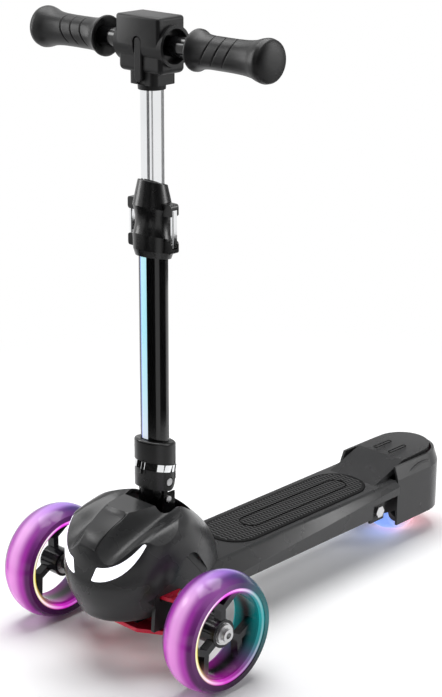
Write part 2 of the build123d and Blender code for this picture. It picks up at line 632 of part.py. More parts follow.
# Folding collar at the foot of the stem, with its slot for the tongue of the post
tube_seat = FOLD_PIVOT_HEIGHT + TONGUE_RADIUS + MOVING_GAP + 2
groove_radius = collar_radius - BAND_DEPTH - 0.4
groove_height = BAND_HEIGHT + 2 * MOVING_GAP
band_plane = slanted(BAND_CENTRE, COLLAR_SLANT)
pin_recess_depth = 1.5
latch_pivot_angle = -80.0
latch_eye_radius = 2.8
latch_pivot_radius = groove_radius + latch_eye_radius + SEAM
latch_pivot = Vector(latch_pivot_radius, 0).rotate(Axis.Z, latch_pivot_angle)
latch_boss_height = 4.0

with BuildPart() as cheek_trim:
    block((-collar_radius - 1, collar_radius + 1), (STEM_Y, STEM_Y + collar_radius + 1),
          (FOLD_PIVOT_HEIGHT - collar_radius, FOLD_PIVOT_HEIGHT))
    rod(-collar_radius - 1, collar_radius + 1, STEM_Y, FOLD_PIVOT_HEIGHT, 2 * knuckle_relief, Mode.SUBTRACT)

with BuildPart() as fold_collar:
    post(0, STEM_Y, COLLAR_BOTTOM - collar_radius, COLLAR_TOP + collar_radius, COLLAR_DIAMETER)
    with BuildSketch(slanted(COLLAR_TOP, COLLAR_SLANT)):
        Rectangle(2 * COLLAR_DIAMETER, 2 * COLLAR_DIAMETER)
    extrude(amount=COLLAR_DIAMETER, mode=Mode.SUBTRACT)
    with BuildSketch(slanted(COLLAR_BOTTOM, COLLAR_SLANT)):
        Rectangle(2 * COLLAR_DIAMETER, 2 * COLLAR_DIAMETER)
    extrude(amount=-COLLAR_DIAMETER, mode=Mode.SUBTRACT)
    fillet(fold_collar.edges().group_by(Axis.Z)[-1], 2.5)
    add(cheek_trim.part, mode=Mode.SUBTRACT)
    with BuildSketch(band_plane.offset(-groove_height / 2)):
        Circle(COLLAR_DIAMETER)
        Circle(groove_radius, mode=Mode.SUBTRACT)
    extrude(amount=groove_height, mode=Mode.SUBTRACT)
    for way in (1, -1):
        with BuildSketch(band_plane.offset(way * groove_height / 2)):
            with Locations((latch_pivot.X, latch_pivot.Y)):
                Circle(latch_eye_radius)
        extrude(amount=way * latch_boss_height)
    post(0, STEM_Y, tube_seat, COLLAR_TOP + collar_radius, LOWER_TUBE_DIAMETER + 2 * SEAT, Mode.SUBTRACT)
    with BuildSketch(across(-TONGUE_WIDTH / 2 - MOVING_GAP, STEM_Y, FOLD_PIVOT_HEIGHT)):
        Circle(TONGUE_RADIUS + MOVING_GAP)
        with Locations((0, -collar_radius / 2)):
            Rectangle(2 * TONGUE_RADIUS + 2 * MOVING_GAP, collar_radius)
        with Locations((collar_radius, 0)):
            Rectangle(2 * collar_radius, 2 * TONGUE_RADIUS + 2 * MOVING_GAP)
        with Locations((collar_radius, -collar_radius / 2)):
            Rectangle(2 * collar_radius, collar_radius)
    extrude(amount=TONGUE_WIDTH + 2 * MOVING_GAP, mode=Mode.SUBTRACT)
    rod(-collar_radius - 1, collar_radius + 1, STEM_Y, FOLD_PIVOT_HEIGHT, FOLD_PIN_DIAMETER + 2 * SEAT,
        Mode.SUBTRACT)
    for side in SIDES.values():
        rod(side * (collar_radius - pin_recess_depth), side * (collar_radius + 1), STEM_Y, FOLD_PIVOT_HEIGHT,
            RIVET_HEAD_DIAMETER + 2, Mode.SUBTRACT)
    with BuildSketch(band_plane):
        with Locations((latch_pivot.X, latch_pivot.Y)):
            Circle(LATCH_PIN_DIAMETER / 2 + SEAT)
    extrude(amount=groove_height / 2 + latch_boss_height, both=True, mode=Mode.SUBTRACT)
save(fold_collar, "fold_collar")

with BuildPart() as fold_pin:
    rod(-collar_radius + pin_recess_depth, collar_radius - pin_recess_depth, STEM_Y, FOLD_PIVOT_HEIGHT,
        FOLD_PIN_DIAMETER)
    for side in SIDES.values():
        rod(side * (collar_radius - pin_recess_depth), side * (collar_radius - SEAM), STEM_Y,
            FOLD_PIVOT_HEIGHT,
            RIVET_HEAD_DIAMETER)
save(fold_pin, "fold_pin")


def band_sector(inner, outer, start, size):
    """An arc-shaped strip about the stem axis, from a start angle on."""
    with BuildLine() as outline:
        outside = CenterArc((0, 0), outer, start, size)
        inside = CenterArc((0, 0), inner, start, size)
        Line(outside @ 0, inside @ 0)
        Line(outside @ 1, inside @ 1)
    make_face(outline.edges())


band_start = -205.0
band_end = latch_pivot_angle - math.degrees((latch_eye_radius + 1.2) / latch_pivot_radius)
with BuildPart() as latch_band:
    with BuildSketch(band_plane.offset(-BAND_HEIGHT / 2)) as band_face:
        band_sector(groove_radius + SEAT, collar_radius + 0.5, band_start, band_end - band_start)
    extrude(amount=BAND_HEIGHT)
save(latch_band, "latch_band")

latch_sweep = 112.0
latch_inner = groove_radius + SEAM
latch_outer = collar_radius + 0.9
latch_tip = Vector((latch_inner + latch_outer) / 2, 0).rotate(Axis.Z, latch_pivot_angle + latch_sweep)
with BuildPart() as fold_latch:
    with BuildSketch(band_plane.offset(-BAND_HEIGHT / 2)) as latch_face:
        band_sector(latch_inner, latch_outer, latch_pivot_angle, latch_sweep)
        with Locations((latch_pivot.X, latch_pivot.Y)):
            Circle(latch_eye_radius)
        with Locations((latch_tip.X, latch_tip.Y)):
            Circle((latch_outer - latch_inner) / 2)
        with Locations((latch_pivot.X, latch_pivot.Y)):
            Circle(LATCH_PIN_DIAMETER / 2 + RUNNING, mode=Mode.SUBTRACT)
    extrude(amount=BAND_HEIGHT)
save(fold_latch, "fold_latch")

with BuildPart() as latch_pin:
    with BuildSketch(band_plane):
        with Locations((latch_pivot.X, latch_pivot.Y)):
            Circle(LATCH_PIN_DIAMETER / 2)
    extrude(amount=groove_height / 2 + latch_boss_height, both=True)
save(latch_pin, "latch_pin")

# Telescopic stem: lower tube with its light strip, clamp collar, and chrome upper tube
strip_bottom = COLLAR_TOP + 4
strip_top = CLAMP_BOTTOM + 2
strip_inner = LOWER_TUBE_DIAMETER / 2 - STRIP_THICKNESS + 0.1
strip_outer = LOWER_TUBE_DIAMETER / 2 + 0.1


def strip_section(grow=0.0):
    Circle(strip_outer + grow)
    Circle(strip_inner - grow, mode=Mode.SUBTRACT)
    with Locations((0, -strip_outer)):
        Rectangle(STRIP_WIDTH + 2 * grow, strip_outer * 1.4, mode=Mode.INTERSECT)


with BuildPart() as lower_tube:
    post(0, STEM_Y, tube_seat + SEAT, LOWER_TUBE_TOP, LOWER_TUBE_DIAMETER)
    post(0, STEM_Y, tube_seat - 1, LOWER_TUBE_TOP + 1, LOWER_TUBE_DIAMETER - 2 * LOWER_TUBE_WALL,
         Mode.SUBTRACT)
    with BuildSketch(Plane(origin=(0, STEM_Y, strip_bottom - SEAM))):
        strip_section(SEAT)
    extrude(amount=strip_top - strip_bottom + 2 * SEAM, mode=Mode.SUBTRACT)
save(lower_tube, "lower_tube")

with BuildPart() as light_strip:
    with BuildSketch(Plane(origin=(0, STEM_Y, strip_bottom))):
        strip_section()
    extrude(amount=strip_top - strip_bottom)
save(light_strip, "light_strip")

belt_slant = 0.27
top_slant = 0.32
lug_width = 10.0
lug_reach = SQUEEZE_BAR_REACH - 0.5
bar_centre = (CLAMP_WAIST_BOTTOM + CLAMP_WAIST_TOP) / 2 - 2.5
bar_low = bar_centre - SQUEEZE_BAR_HEIGHT / 2
bar_high = bar_centre + SQUEEZE_BAR_HEIGHT / 2
bar_overlap = 6.5
guide_pin_diameter = 3.0
guide_pin_inset = 3.2
bore_above = UPPER_TUBE_DIAMETER + 2 * MOVING_GAP


def clamp_ring(height, radius, slant):
    with BuildSketch(slanted(height, slant)) as ring:
        Circle(radius)
    return ring.sketch


with BuildPart() as clamp_collar:
    loft([clamp_ring(CLAMP_BOTTOM, CLAMP_WAIST_RADIUS, 0.18),
          clamp_ring(CLAMP_BOTTOM + 6, CLAMP_BELT_RADIUS - 0.6, 0.2),
          clamp_ring(CLAMP_WAIST_BOTTOM, CLAMP_BELT_RADIUS, belt_slant)], ruled=True)
    loft([clamp_ring(CLAMP_WAIST_BOTTOM, CLAMP_BELT_RADIUS - 0.4, belt_slant),
          clamp_ring((CLAMP_WAIST_BOTTOM + CLAMP_WAIST_TOP) / 2, CLAMP_WAIST_RADIUS, belt_slant),
          clamp_ring(CLAMP_WAIST_TOP, CLAMP_BELT_RADIUS - 0.4, belt_slant)])
    loft([clamp_ring(CLAMP_WAIST_TOP, CLAMP_BELT_RADIUS, belt_slant),
          clamp_ring(CLAMP_TOP, CLAMP_TOP_RADIUS, top_slant)],
         ruled=True)
    fillet(clamp_collar.edges().group_by(Axis.Z)[-1], 1.2)
    for side in SIDES.values():
        block(sorted((side * 13, side * lug_reach)), (STEM_Y - lug_width / 2, STEM_Y + lug_width / 2),
              (bar_low - 5, bar_low + bar_overlap))
        block(sorted((side * 13, side * lug_reach)), (STEM_Y - lug_width / 2, STEM_Y + lug_width / 2),
              (bar_high - bar_overlap, bar_high + 5))
    fillet(clamp_collar.edges().filter_by(Axis.Y).filter_by_position(Axis.X, lug_reach - 0.1,
                                                                     lug_reach + 0.1), 2.5)
    fillet(clamp_collar.edges().filter_by(Axis.Y).filter_by_position(Axis.X, -lug_reach - 0.1,
                                                                     -lug_reach + 0.1), 2.5)
    for side in SIDES.values():
        block(sorted((side * (SQUEEZE_BAR_REACH - SQUEEZE_BAR_THICKNESS - SQUEEZE_TRAVEL - MOVING_GAP),
                      side * (SQUEEZE_BAR_REACH + 1))),
              (STEM_Y - SQUEEZE_BAR_WIDTH / 2 - SEAM, STEM_Y + SQUEEZE_BAR_WIDTH / 2 + SEAM),
              (bar_low - SEAM, bar_high + SEAM), mode=Mode.SUBTRACT)
        for z in (bar_low + guide_pin_inset, bar_high - guide_pin_inset):
            rod(side * (CLAMP_WAIST_RADIUS - 1.4), side * lug_reach, STEM_Y, z,
                guide_pin_diameter + 2 * RUNNING,
                Mode.SUBTRACT)
    post(0, STEM_Y, CLAMP_BOTTOM - 10, LOWER_TUBE_TOP + 3.2, LOWER_TUBE_DIAMETER + 2 * SEAT, Mode.SUBTRACT)
    post(0, STEM_Y, CLAMP_BOTTOM - 10, CLAMP_TOP + 10, bore_above, Mode.SUBTRACT)
    with BuildSketch(Plane(origin=(0, STEM_Y, strip_bottom))):
        strip_section(SEAM)
    extrude(amount=strip_top - strip_bottom + SEAM, mode=Mode.SUBTRACT)
save(clamp_collar, "clamp_collar")

with BuildPart() as clamp_sleeve:
    sleeve_length = 46.0
    post(0, STEM_Y, LOWER_TUBE_TOP - sleeve_length, LOWER_TUBE_TOP + 0.5,
         LOWER_TUBE_DIAMETER - 2 * LOWER_TUBE_WALL - 2 * SEAT)
    post(0, STEM_Y, LOWER_TUBE_TOP + SEAT, LOWER_TUBE_TOP + 3, LOWER_TUBE_DIAMETER - 2 * SEAT)
    post(0, STEM_Y, LOWER_TUBE_TOP - sleeve_length - 1, LOWER_TUBE_TOP + 4, UPPER_TUBE_DIAMETER + 2 * RUNNING,
         Mode.SUBTRACT)
save(clamp_sleeve, "clamp_sleeve")

for name, side in SIDES.items():
    with BuildPart() as squeeze_bar:
        block(sorted((side * (SQUEEZE_BAR_REACH - SQUEEZE_BAR_THICKNESS), side * SQUEEZE_BAR_REACH)),
              (STEM_Y - SQUEEZE_BAR_WIDTH / 2, STEM_Y + SQUEEZE_BAR_WIDTH / 2), (bar_low, bar_high))
        chamfer(squeeze_bar.faces().sort_by(Axis.X)[-1 if side > 0 else 0].edges(), 1.0)
        for z in (bar_low + guide_pin_inset, bar_high - guide_pin_inset):
            rod(side * (CLAMP_WAIST_RADIUS + SQUEEZE_TRAVEL - 0.6), side * (SQUEEZE_BAR_REACH - 1), STEM_Y, z,
                guide_pin_diameter)
    save(squeeze_bar, f"squeeze_bar_{name}")

upper_tube_top = HANDLEBAR_HEIGHT - BAR_DIAMETER / 2 - 5
with BuildPart() as upper_tube:
    post(0, STEM_Y, UPPER_TUBE_BOTTOM, upper_tube_top, UPPER_TUBE_DIAMETER)
    post(0, STEM_Y, UPPER_TUBE_BOTTOM - 1, upper_tube_top + 1, UPPER_TUBE_DIAMETER - 2 * UPPER_TUBE_WALL,
         Mode.SUBTRACT)
save(upper_tube, "upper_tube")

bush_length = 28.0
with BuildPart() as guide_bush:
    post(0, STEM_Y, UPPER_TUBE_BOTTOM + 2, UPPER_TUBE_BOTTOM + 2 + bush_length,
         LOWER_TUBE_DIAMETER - 2 * LOWER_TUBE_WALL - 2 * RUNNING)
    post(0, STEM_Y, UPPER_TUBE_BOTTOM, UPPER_TUBE_BOTTOM + 4 + bush_length, UPPER_TUBE_DIAMETER + 2 * SEAT,
         Mode.SUBTRACT)
save(guide_bush, "guide_bush")

# Handlebar head with its release lever, the bar and the two grips
head_front = STEM_Y - HEAD_DEPTH / 2
head_rear = STEM_Y + HEAD_DEPTH / 2
lever_front = head_front - 2.0
lever_back = lever_front + LEVER_THICKNESS
lever_slot_back = lever_back + 1.4
lever_pin_diameter = 3.0
lever_pivot_y = lever_back - lever_pin_diameter / 2 - 0.8
lever_pivot_z = LEVER_TOP - LEVER_WIDTH / 2
boss_reach = HEAD_WIDTH / 2 + 3.5
chin_width = 34.0

with BuildPart() as head_block:
    block((-HEAD_WIDTH / 2, HEAD_WIDTH / 2), (head_front, head_rear), (HEAD_BOTTOM, HEAD_TOP))
    fillet(head_block.edges().filter_by(Axis.Z), 4)
    fillet(head_block.faces().sort_by(Axis.Z)[-1].edges(), 3)
    fillet(head_block.faces().sort_by(Axis.Z)[0].edges(), 5)
    rod(-boss_reach, boss_reach, STEM_Y, HANDLEBAR_HEIGHT, BOSS_DIAMETER)
    with BuildSketch(Plane.XY.offset(HEAD_COLLAR_BOTTOM + 5)):
        with Locations((0, STEM_Y + 1)):
            RectangleRounded(chin_width, HEAD_DEPTH - 2, 6)
    extrude(amount=HEAD_BOTTOM - HEAD_COLLAR_BOTTOM)
    with BuildSketch(Plane(origin=(0, STEM_Y, HEAD_COLLAR_BOTTOM))):
        Circle(HEAD_COLLAR_DIAMETER / 2)
    extrude(amount=HEAD_BOTTOM - HEAD_COLLAR_BOTTOM, taper=-4)
    for side in SIDES.values():
        rod(side * (HEAD_WIDTH / 2 - 6), side * (boss_reach + 1), STEM_Y, HANDLEBAR_HEIGHT, BOSS_DIAMETER - 6,
            Mode.SUBTRACT)
    rod(-HEAD_WIDTH, HEAD_WIDTH, STEM_Y, HANDLEBAR_HEIGHT, BAR_DIAMETER + 2 * SEAT, Mode.SUBTRACT)
    post(0, STEM_Y, HEAD_COLLAR_BOTTOM - 1, upper_tube_top + SEAT, UPPER_TUBE_DIAMETER + 2 * SEAT,
         Mode.SUBTRACT)
    block((-LEVER_WIDTH / 2 - MOVING_GAP, LEVER_WIDTH / 2 + MOVING_GAP), (lever_front - 1, lever_slot_back),
          (LEVER_BOTTOM - 3, LEVER_TOP + MOVING_GAP), mode=Mode.SUBTRACT)
    rod(-LEVER_WIDTH / 2 - 4, LEVER_WIDTH / 2 + 4, lever_pivot_y, lever_pivot_z,
        lever_pin_diameter + 2 * SEAT,
        Mode.SUBTRACT)
save(head_block, "head_block")

with BuildPart() as release_lever:
    with BuildSketch(Plane(origin=(0, lever_back, 0), x_dir=(1, 0, 0), z_dir=(0, -1, 0))):
        with Locations((0, (LEVER_TOP + LEVER_BOTTOM) / 2)):
            SlotOverall(LEVER_TOP - LEVER_BOTTOM, LEVER_WIDTH, rotation=90)
    extrude(amount=LEVER_THICKNESS)
    fillet(release_lever.faces().sort_by(Axis.Y)[0].edges(), 1.2)
    rod(-LEVER_WIDTH, LEVER_WIDTH, lever_pivot_y, lever_pivot_z, lever_pin_diameter + 2 * RUNNING,
        Mode.SUBTRACT)
save(release_lever, "release_lever")

with BuildPart() as lever_pin:
    rod(-LEVER_WIDTH / 2 - 3.8, LEVER_WIDTH / 2 + 3.8, lever_pivot_y, lever_pivot_z, lever_pin_diameter)
save(lever_pin, "lever_pin")

bar_half = HANDLEBAR_WIDTH / 2 - 11
with BuildPart() as handlebar:
    rod(-bar_half, bar_half, STEM_Y, HANDLEBAR_HEIGHT, BAR_DIAMETER)
    rod(-bar_half - 1, bar_half + 1, STEM_Y, HANDLEBAR_HEIGHT, BAR_DIAMETER - 4, Mode.SUBTRACT)
save(handlebar, "handlebar")

for name, side in SIDES.items():
    grip_plane = Plane(origin=(0, STEM_Y, HANDLEBAR_HEIGHT), x_dir=(side, 0, 0), z_dir=(0, -side, 0))
    grip_end = HANDLEBAR_WIDTH / 2
    flare_x = grip_end - 9
    bore_radius = BAR_DIAMETER / 2 + SEAT
    with BuildPart() as grip:
        with BuildSketch(grip_plane):
            with BuildLine():
                Polyline(
                    (grip_end, 0),
                    (bar_half + SEAM, 0),
                    (bar_half + SEAM, bore_radius),
                    (GRIP_START + 6, bore_radius),
                    (GRIP_START, GRIP_FLANGE_DIAMETER / 2 - 2),
                    (GRIP_START, GRIP_FLANGE_DIAMETER / 2),
                    (GRIP_START + 3, GRIP_FLANGE_DIAMETER / 2),
                )
                Spline(
                    (GRIP_START + 3, GRIP_FLANGE_DIAMETER / 2),
                    (GRIP_START + 13, GRIP_DIAMETER / 2 + 0.6),
                    ((GRIP_START + flare_x) / 2, GRIP_DIAMETER / 2),
                    (flare_x - 16, GRIP_DIAMETER / 2 + 0.9),
                    (flare_x, GRIP_FLARE_DIAMETER / 2),
                )
                Spline(
                    (flare_x, GRIP_FLARE_DIAMETER / 2),
                    (grip_end - 2.4, GRIP_FLARE_DIAMETER / 2 - 5),
                    (grip_end, 0),
                    tangents=((1, 0), (0, -1)),
                )
            make_face()
        revolve(axis=Axis((0, STEM_Y, HANDLEBAR_HEIGHT), (1, 0, 0)))
    save(grip, f"grip_{name}")

# Front wheels: clear cast tyre, spoked core, light rings, bearings
tyre_inner = FRONT_WHEEL_DIAMETER / 2 - FRONT_TYRE_DEPTH
tyre_shoulder = FRONT_WHEEL_DIAMETER / 2 - 6.5
core_half_width = FRONT_WHEEL_WIDTH / 2 - 4.6
ring_inner = tyre_inner - LIGHT_RING_WIDTH / 2
ring_outer = tyre_inner + LIGHT_RING_WIDTH / 2
ring_depth = 3.4
spoke_split = 26.0
spoke_spread = 26.0
rim_inner = tyre_inner - FRONT_RIM_WALL

for name, side in SIDES.items():
    wheel_x = side * TRACK / 2
    wheel_axis = Axis((wheel_x, FRONT_AXLE_Y, FRONT_AXLE_Z), (1, 0, 0))
    wheel_section = Plane(origin=(wheel_x, FRONT_AXLE_Y, FRONT_AXLE_Z), x_dir=(1, 0, 0), z_dir=(0, -1, 0))
    half = FRONT_WHEEL_WIDTH / 2
    with BuildPart() as tyre:
        with BuildSketch(wheel_section):
            with BuildLine():
                ThreePointArc((-half, tyre_shoulder), (0, FRONT_WHEEL_DIAMETER / 2), (half, tyre_shoulder))
                Polyline(
                    (half, tyre_shoulder),
                    (half, ring_outer + SEAT),
                    (core_half_width, ring_outer + SEAT),
                    (core_half_width, tyre_inner),
                    (-core_half_width, tyre_inner),
                    (-core_half_width, ring_outer + SEAT),
                    (-half, ring_outer + SEAT),
                    (-half, tyre_shoulder),
                )
            make_face()
        revolve(axis=wheel_axis)
    save(tyre, f"tyre_{name}")

    with BuildPart() as wheel_core:
        with BuildSketch(across(wheel_x - core_half_width, FRONT_AXLE_Y, FRONT_AXLE_Z)):
            Circle(tyre_inner - SEAT)
            Circle(rim_inner, mode=Mode.SUBTRACT)
        extrude(amount=2 * core_half_width)
        with BuildSketch(across(side * hub_inner, FRONT_AXLE_Y, FRONT_AXLE_Z)):
            Circle(BEARING_OUTER_DIAMETER / 2 + HUB_WALL)
        extrude(amount=side * HUB_LENGTH)
        with BuildSketch(across(wheel_x, FRONT_AXLE_Y, FRONT_AXLE_Z)) as spoke_face:
            for turn in (90, 210, 330):
                fork_point = Vector(spoke_split, 0).rotate(Axis.Z, turn)
                with BuildLine():
                    Line(Vector(BEARING_OUTER_DIAMETER / 2, 0).rotate(Axis.Z, turn), fork_point)
                    for spread in (-spoke_spread, spoke_spread):
                        Line(fork_point, Vector(rim_inner + 1, 0).rotate(Axis.Z, turn + spread))
                trace(line_width=SPOKE_WIDTH)
        extrude(amount=side * SPOKE_THICKNESS)
        rod(side * hub_inner - side, side * hub_outer + side, FRONT_AXLE_Y, FRONT_AXLE_Z, BEARING_BORE + 5,
            Mode.SUBTRACT)
        for start, end in ((hub_inner - 1, hub_inner + BEARING_WIDTH),
                           (hub_outer - BEARING_WIDTH, hub_outer + 1)):
            rod(side * start, side * end, FRONT_AXLE_Y, FRONT_AXLE_Z, BEARING_OUTER_DIAMETER + 2 * SEAT,
                Mode.SUBTRACT)
    save(wheel_core, f"wheel_core_{name}")

    with BuildPart() as wheel_bearings:
        for start in (hub_inner, hub_outer - BEARING_WIDTH):
            with BuildSketch(across(side * start, FRONT_AXLE_Y, FRONT_AXLE_Z)):
                Circle(BEARING_OUTER_DIAMETER / 2)
                Circle(BEARING_BORE / 2 + RUNNING, mode=Mode.SUBTRACT)
            extrude(amount=side * BEARING_WIDTH)
    save(wheel_bearings, f"wheel_bearings_{name}")

    with BuildPart() as light_ring:
        for face in (1, -1):
            with BuildSketch(across(wheel_x + face * (core_half_width + SEAT), FRONT_AXLE_Y, FRONT_AXLE_Z)):
                Circle(ring_outer)
                Circle(ring_inner, mode=Mode.SUBTRACT)
            extrude(amount=face * ring_depth)
    save(light_ring, f"light_ring_{name}")

# Rear wheel on its fork
rear_tyre_inner = REAR_WHEEL_DIAMETER / 2 - REAR_TYRE_DEPTH
rear_half = REAR_WHEEL_WIDTH / 2
rear_hub_half = REAR_HUB_LENGTH / 2
rear_axis = Axis((0, REAR_AXLE_Y, REAR_AXLE_Z), (1, 0, 0))

with BuildPart() as rear_tyre:
    with BuildSketch(Plane(origin=(0, REAR_AXLE_Y, REAR_AXLE_Z), x_dir=(1, 0, 0), z_dir=(0, -1, 0))):
        with BuildLine():
            ThreePointArc((-rear_half, REAR_WHEEL_DIAMETER / 2 - 5), (0, REAR_WHEEL_DIAMETER / 2),
                          (rear_half, REAR_WHEEL_DIAMETER / 2 - 5))
            Polyline(
                (rear_half, REAR_WHEEL_DIAMETER / 2 - 5),
                (rear_half, rear_tyre_inner + 3),
                (rear_half - 4, rear_tyre_inner),
                (-rear_half + 4, rear_tyre_inner),
                (-rear_half, rear_tyre_inner + 3),
                (-rear_half, REAR_WHEEL_DIAMETER / 2 - 5),
            )
        make_face()
    revolve(axis=rear_axis)
save(rear_tyre, "rear_tyre")

with BuildPart() as rear_core:
    rod(-rear_half + 4, rear_half - 4, REAR_AXLE_Y, REAR_AXLE_Z, 2 * (rear_tyre_inner - SEAT))
    for face in (1, -1):
        with BuildSketch(across(face * (rear_half - 4), REAR_AXLE_Y, REAR_AXLE_Z)):
            Circle(rear_tyre_inner - FRONT_RIM_WALL)
            Circle(BEARING_OUTER_DIAMETER / 2 + HUB_WALL, mode=Mode.SUBTRACT)
        extrude(amount=-face * 9, mode=Mode.SUBTRACT)
    rod(-rear_hub_half, rear_hub_half, REAR_AXLE_Y, REAR_AXLE_Z, BEARING_OUTER_DIAMETER + 2 * HUB_WALL)
    rod(-rear_hub_half - 1, rear_hub_half + 1, REAR_AXLE_Y, REAR_AXLE_Z, BEARING_BORE + 5, Mode.SUBTRACT)
    for face in (1, -1):
        rod(face * (rear_hub_half - BEARING_WIDTH), face * (rear_hub_half + 1), REAR_AXLE_Y, REAR_AXLE_Z,
            BEARING_OUTER_DIAMETER + 2 * SEAT, Mode.SUBTRACT)
save(rear_core, "rear_core")

with BuildPart() as rear_bearings:
    for face in (1, -1):
        with BuildSketch(across(face * rear_hub_half, REAR_AXLE_Y, REAR_AXLE_Z)):
            Circle(BEARING_OUTER_DIAMETER / 2)
            Circle(BEARING_BORE / 2 + RUNNING, mode=Mode.SUBTRACT)
        extrude(amount=-face * BEARING_WIDTH)
save(rear_bearings, "rear_bearings")

fork_inner = FORK_INNER_WIDTH / 2
fork_outer = fork_inner + FORK_PLATE
bracket_inner = BRACKET_INNER_WIDTH / 2
bracket_outer = bracket_inner + FORK_PLATE
fork_top = DECK_TOP - DECK_SKIN
fork_front_y = rear_bay_front + 2
fork_rear_y = deck_rear_y - 8
nut_height = 6.0

with BuildPart() as rear_fork:
    block((-bracket_outer, bracket_outer), (fork_front_y, fork_rear_y), (fork_top - FORK_PLATE, fork_top))
    for side in SIDES.values():
        with BuildSketch(across(side * fork_inner)):
            with BuildLine():
                Polyline(
                    (fork_front_y, fork_top),
                    (fork_rear_y - 8, fork_top),
                    (fork_rear_y + 6, fork_top - 17),
                    (REAR_AXLE_Y - 16, REAR_AXLE_Z + 14),
                    (REAR_AXLE_Y + 11, REAR_AXLE_Z + 9),
                    (REAR_AXLE_Y + 11, REAR_AXLE_Z - 9),
                    (BRAKE_PIVOT_Y + 8, BRAKE_PIVOT_HEIGHT - 12),
                    (fork_front_y, BRAKE_PIVOT_HEIGHT - 6),
                    close=True,
                )
            make_face()
        extrude(amount=side * FORK_PLATE)
        with BuildSketch(across(side * bracket_inner)):
            with BuildLine():
                Polyline(
                    (BRAKE_PIVOT_Y - 12, fork_top),
                    (BRAKE_PIVOT_Y + 14, fork_top),
                    (BRAKE_PIVOT_Y + 11, BRAKE_PIVOT_HEIGHT - 12),
                    (BRAKE_PIVOT_Y - 12, BRAKE_PIVOT_HEIGHT - 12),
                    close=True,
                )
            make_face()
        extrude(amount=side * FORK_PLATE)
    rod(-bracket_outer - 1, bracket_outer + 1, BRAKE_PIVOT_Y, BRAKE_PIVOT_HEIGHT,
        PIVOT_BOLT_DIAMETER + 2 * SEAT,
        Mode.SUBTRACT)
    rod(-bracket_outer - 1, bracket_outer + 1, REAR_AXLE_Y, REAR_AXLE_Z, BEARING_BORE + 2 * SEAT,
        Mode.SUBTRACT)
save(rear_fork, "rear_fork")

with BuildPart() as rear_axle:
    rod(-fork_outer - nut_height, fork_outer, REAR_AXLE_Y, REAR_AXLE_Z, BEARING_BORE)
    rod(fork_outer, fork_outer + 4.5, REAR_AXLE_Y, REAR_AXLE_Z, BEARING_BORE + 6)
save(rear_axle, "rear_axle")

with BuildPart() as axle_hardware:
    for face in (1, -1):
        with BuildSketch(across(face * (rear_hub_half + SEAM), REAR_AXLE_Y, REAR_AXLE_Z)):
            Circle(BEARING_BORE / 2 + 2)
            Circle(BEARING_BORE / 2 + SEAT, mode=Mode.SUBTRACT)
        extrude(amount=face * (fork_inner - rear_hub_half - SEAM))
    with BuildSketch(across(-fork_outer, REAR_AXLE_Y, REAR_AXLE_Z)):
        RegularPolygon(BEARING_BORE * 0.87, 6)
        Circle(BEARING_BORE / 2 + SEAT, mode=Mode.SUBTRACT)
    extrude(amount=-nut_height + 0.5)
save(axle_hardware, "axle_hardware")

with BuildPart() as brake_pivot_bolt:
    rod(-bracket_outer, bracket_outer, BRAKE_PIVOT_Y, BRAKE_PIVOT_HEIGHT, PIVOT_BOLT_DIAMETER)
    for side in SIDES.values():
        with BuildSketch(across(side * bracket_outer, BRAKE_PIVOT_Y, BRAKE_PIVOT_HEIGHT)):
            RegularPolygon(PIVOT_BOLT_DIAMETER * 0.85, 6)
        extrude(amount=side * 4.5)
save(brake_pivot_bolt, "brake_pivot_bolt")

# Brake: the fender shell, its arms and web, and the pad above the rear wheel
pad_inner = REAR_WHEEL_DIAMETER / 2 + BRAKE_PAD_GAP
web_inner = pad_inner + BRAKE_PAD_THICKNESS
web_outer = web_inner + BRAKE_WEB_THICKNESS
arm_inner = fork_outer + 1.0
arm_outer = arm_inner + BRAKE_ARM_THICKNESS
fender_front_y = deck_rear_y + 1.5
shoulder_height = FENDER_RIM - FENDER_SHOULDER
rim_taper = math.degrees(math.atan(FENDER_RIM_INSET / shoulder_height))


def fender_plan(height, inset=0.0):
    """The U-shaped plan of the fender at a height, drawn in from its outside by an inset."""
    radius = FENDER_RADIUS - inset
    with BuildSketch(Plane.XY.offset(height)) as plan:
        with Locations((0, FENDER_CENTRE_Y)):
            Circle(radius)
        with Locations((0, FENDER_CENTRE_Y - FENDER_RADIUS)):
            Rectangle(2 * radius, 2 * FENDER_RADIUS)
    return plan.sketch


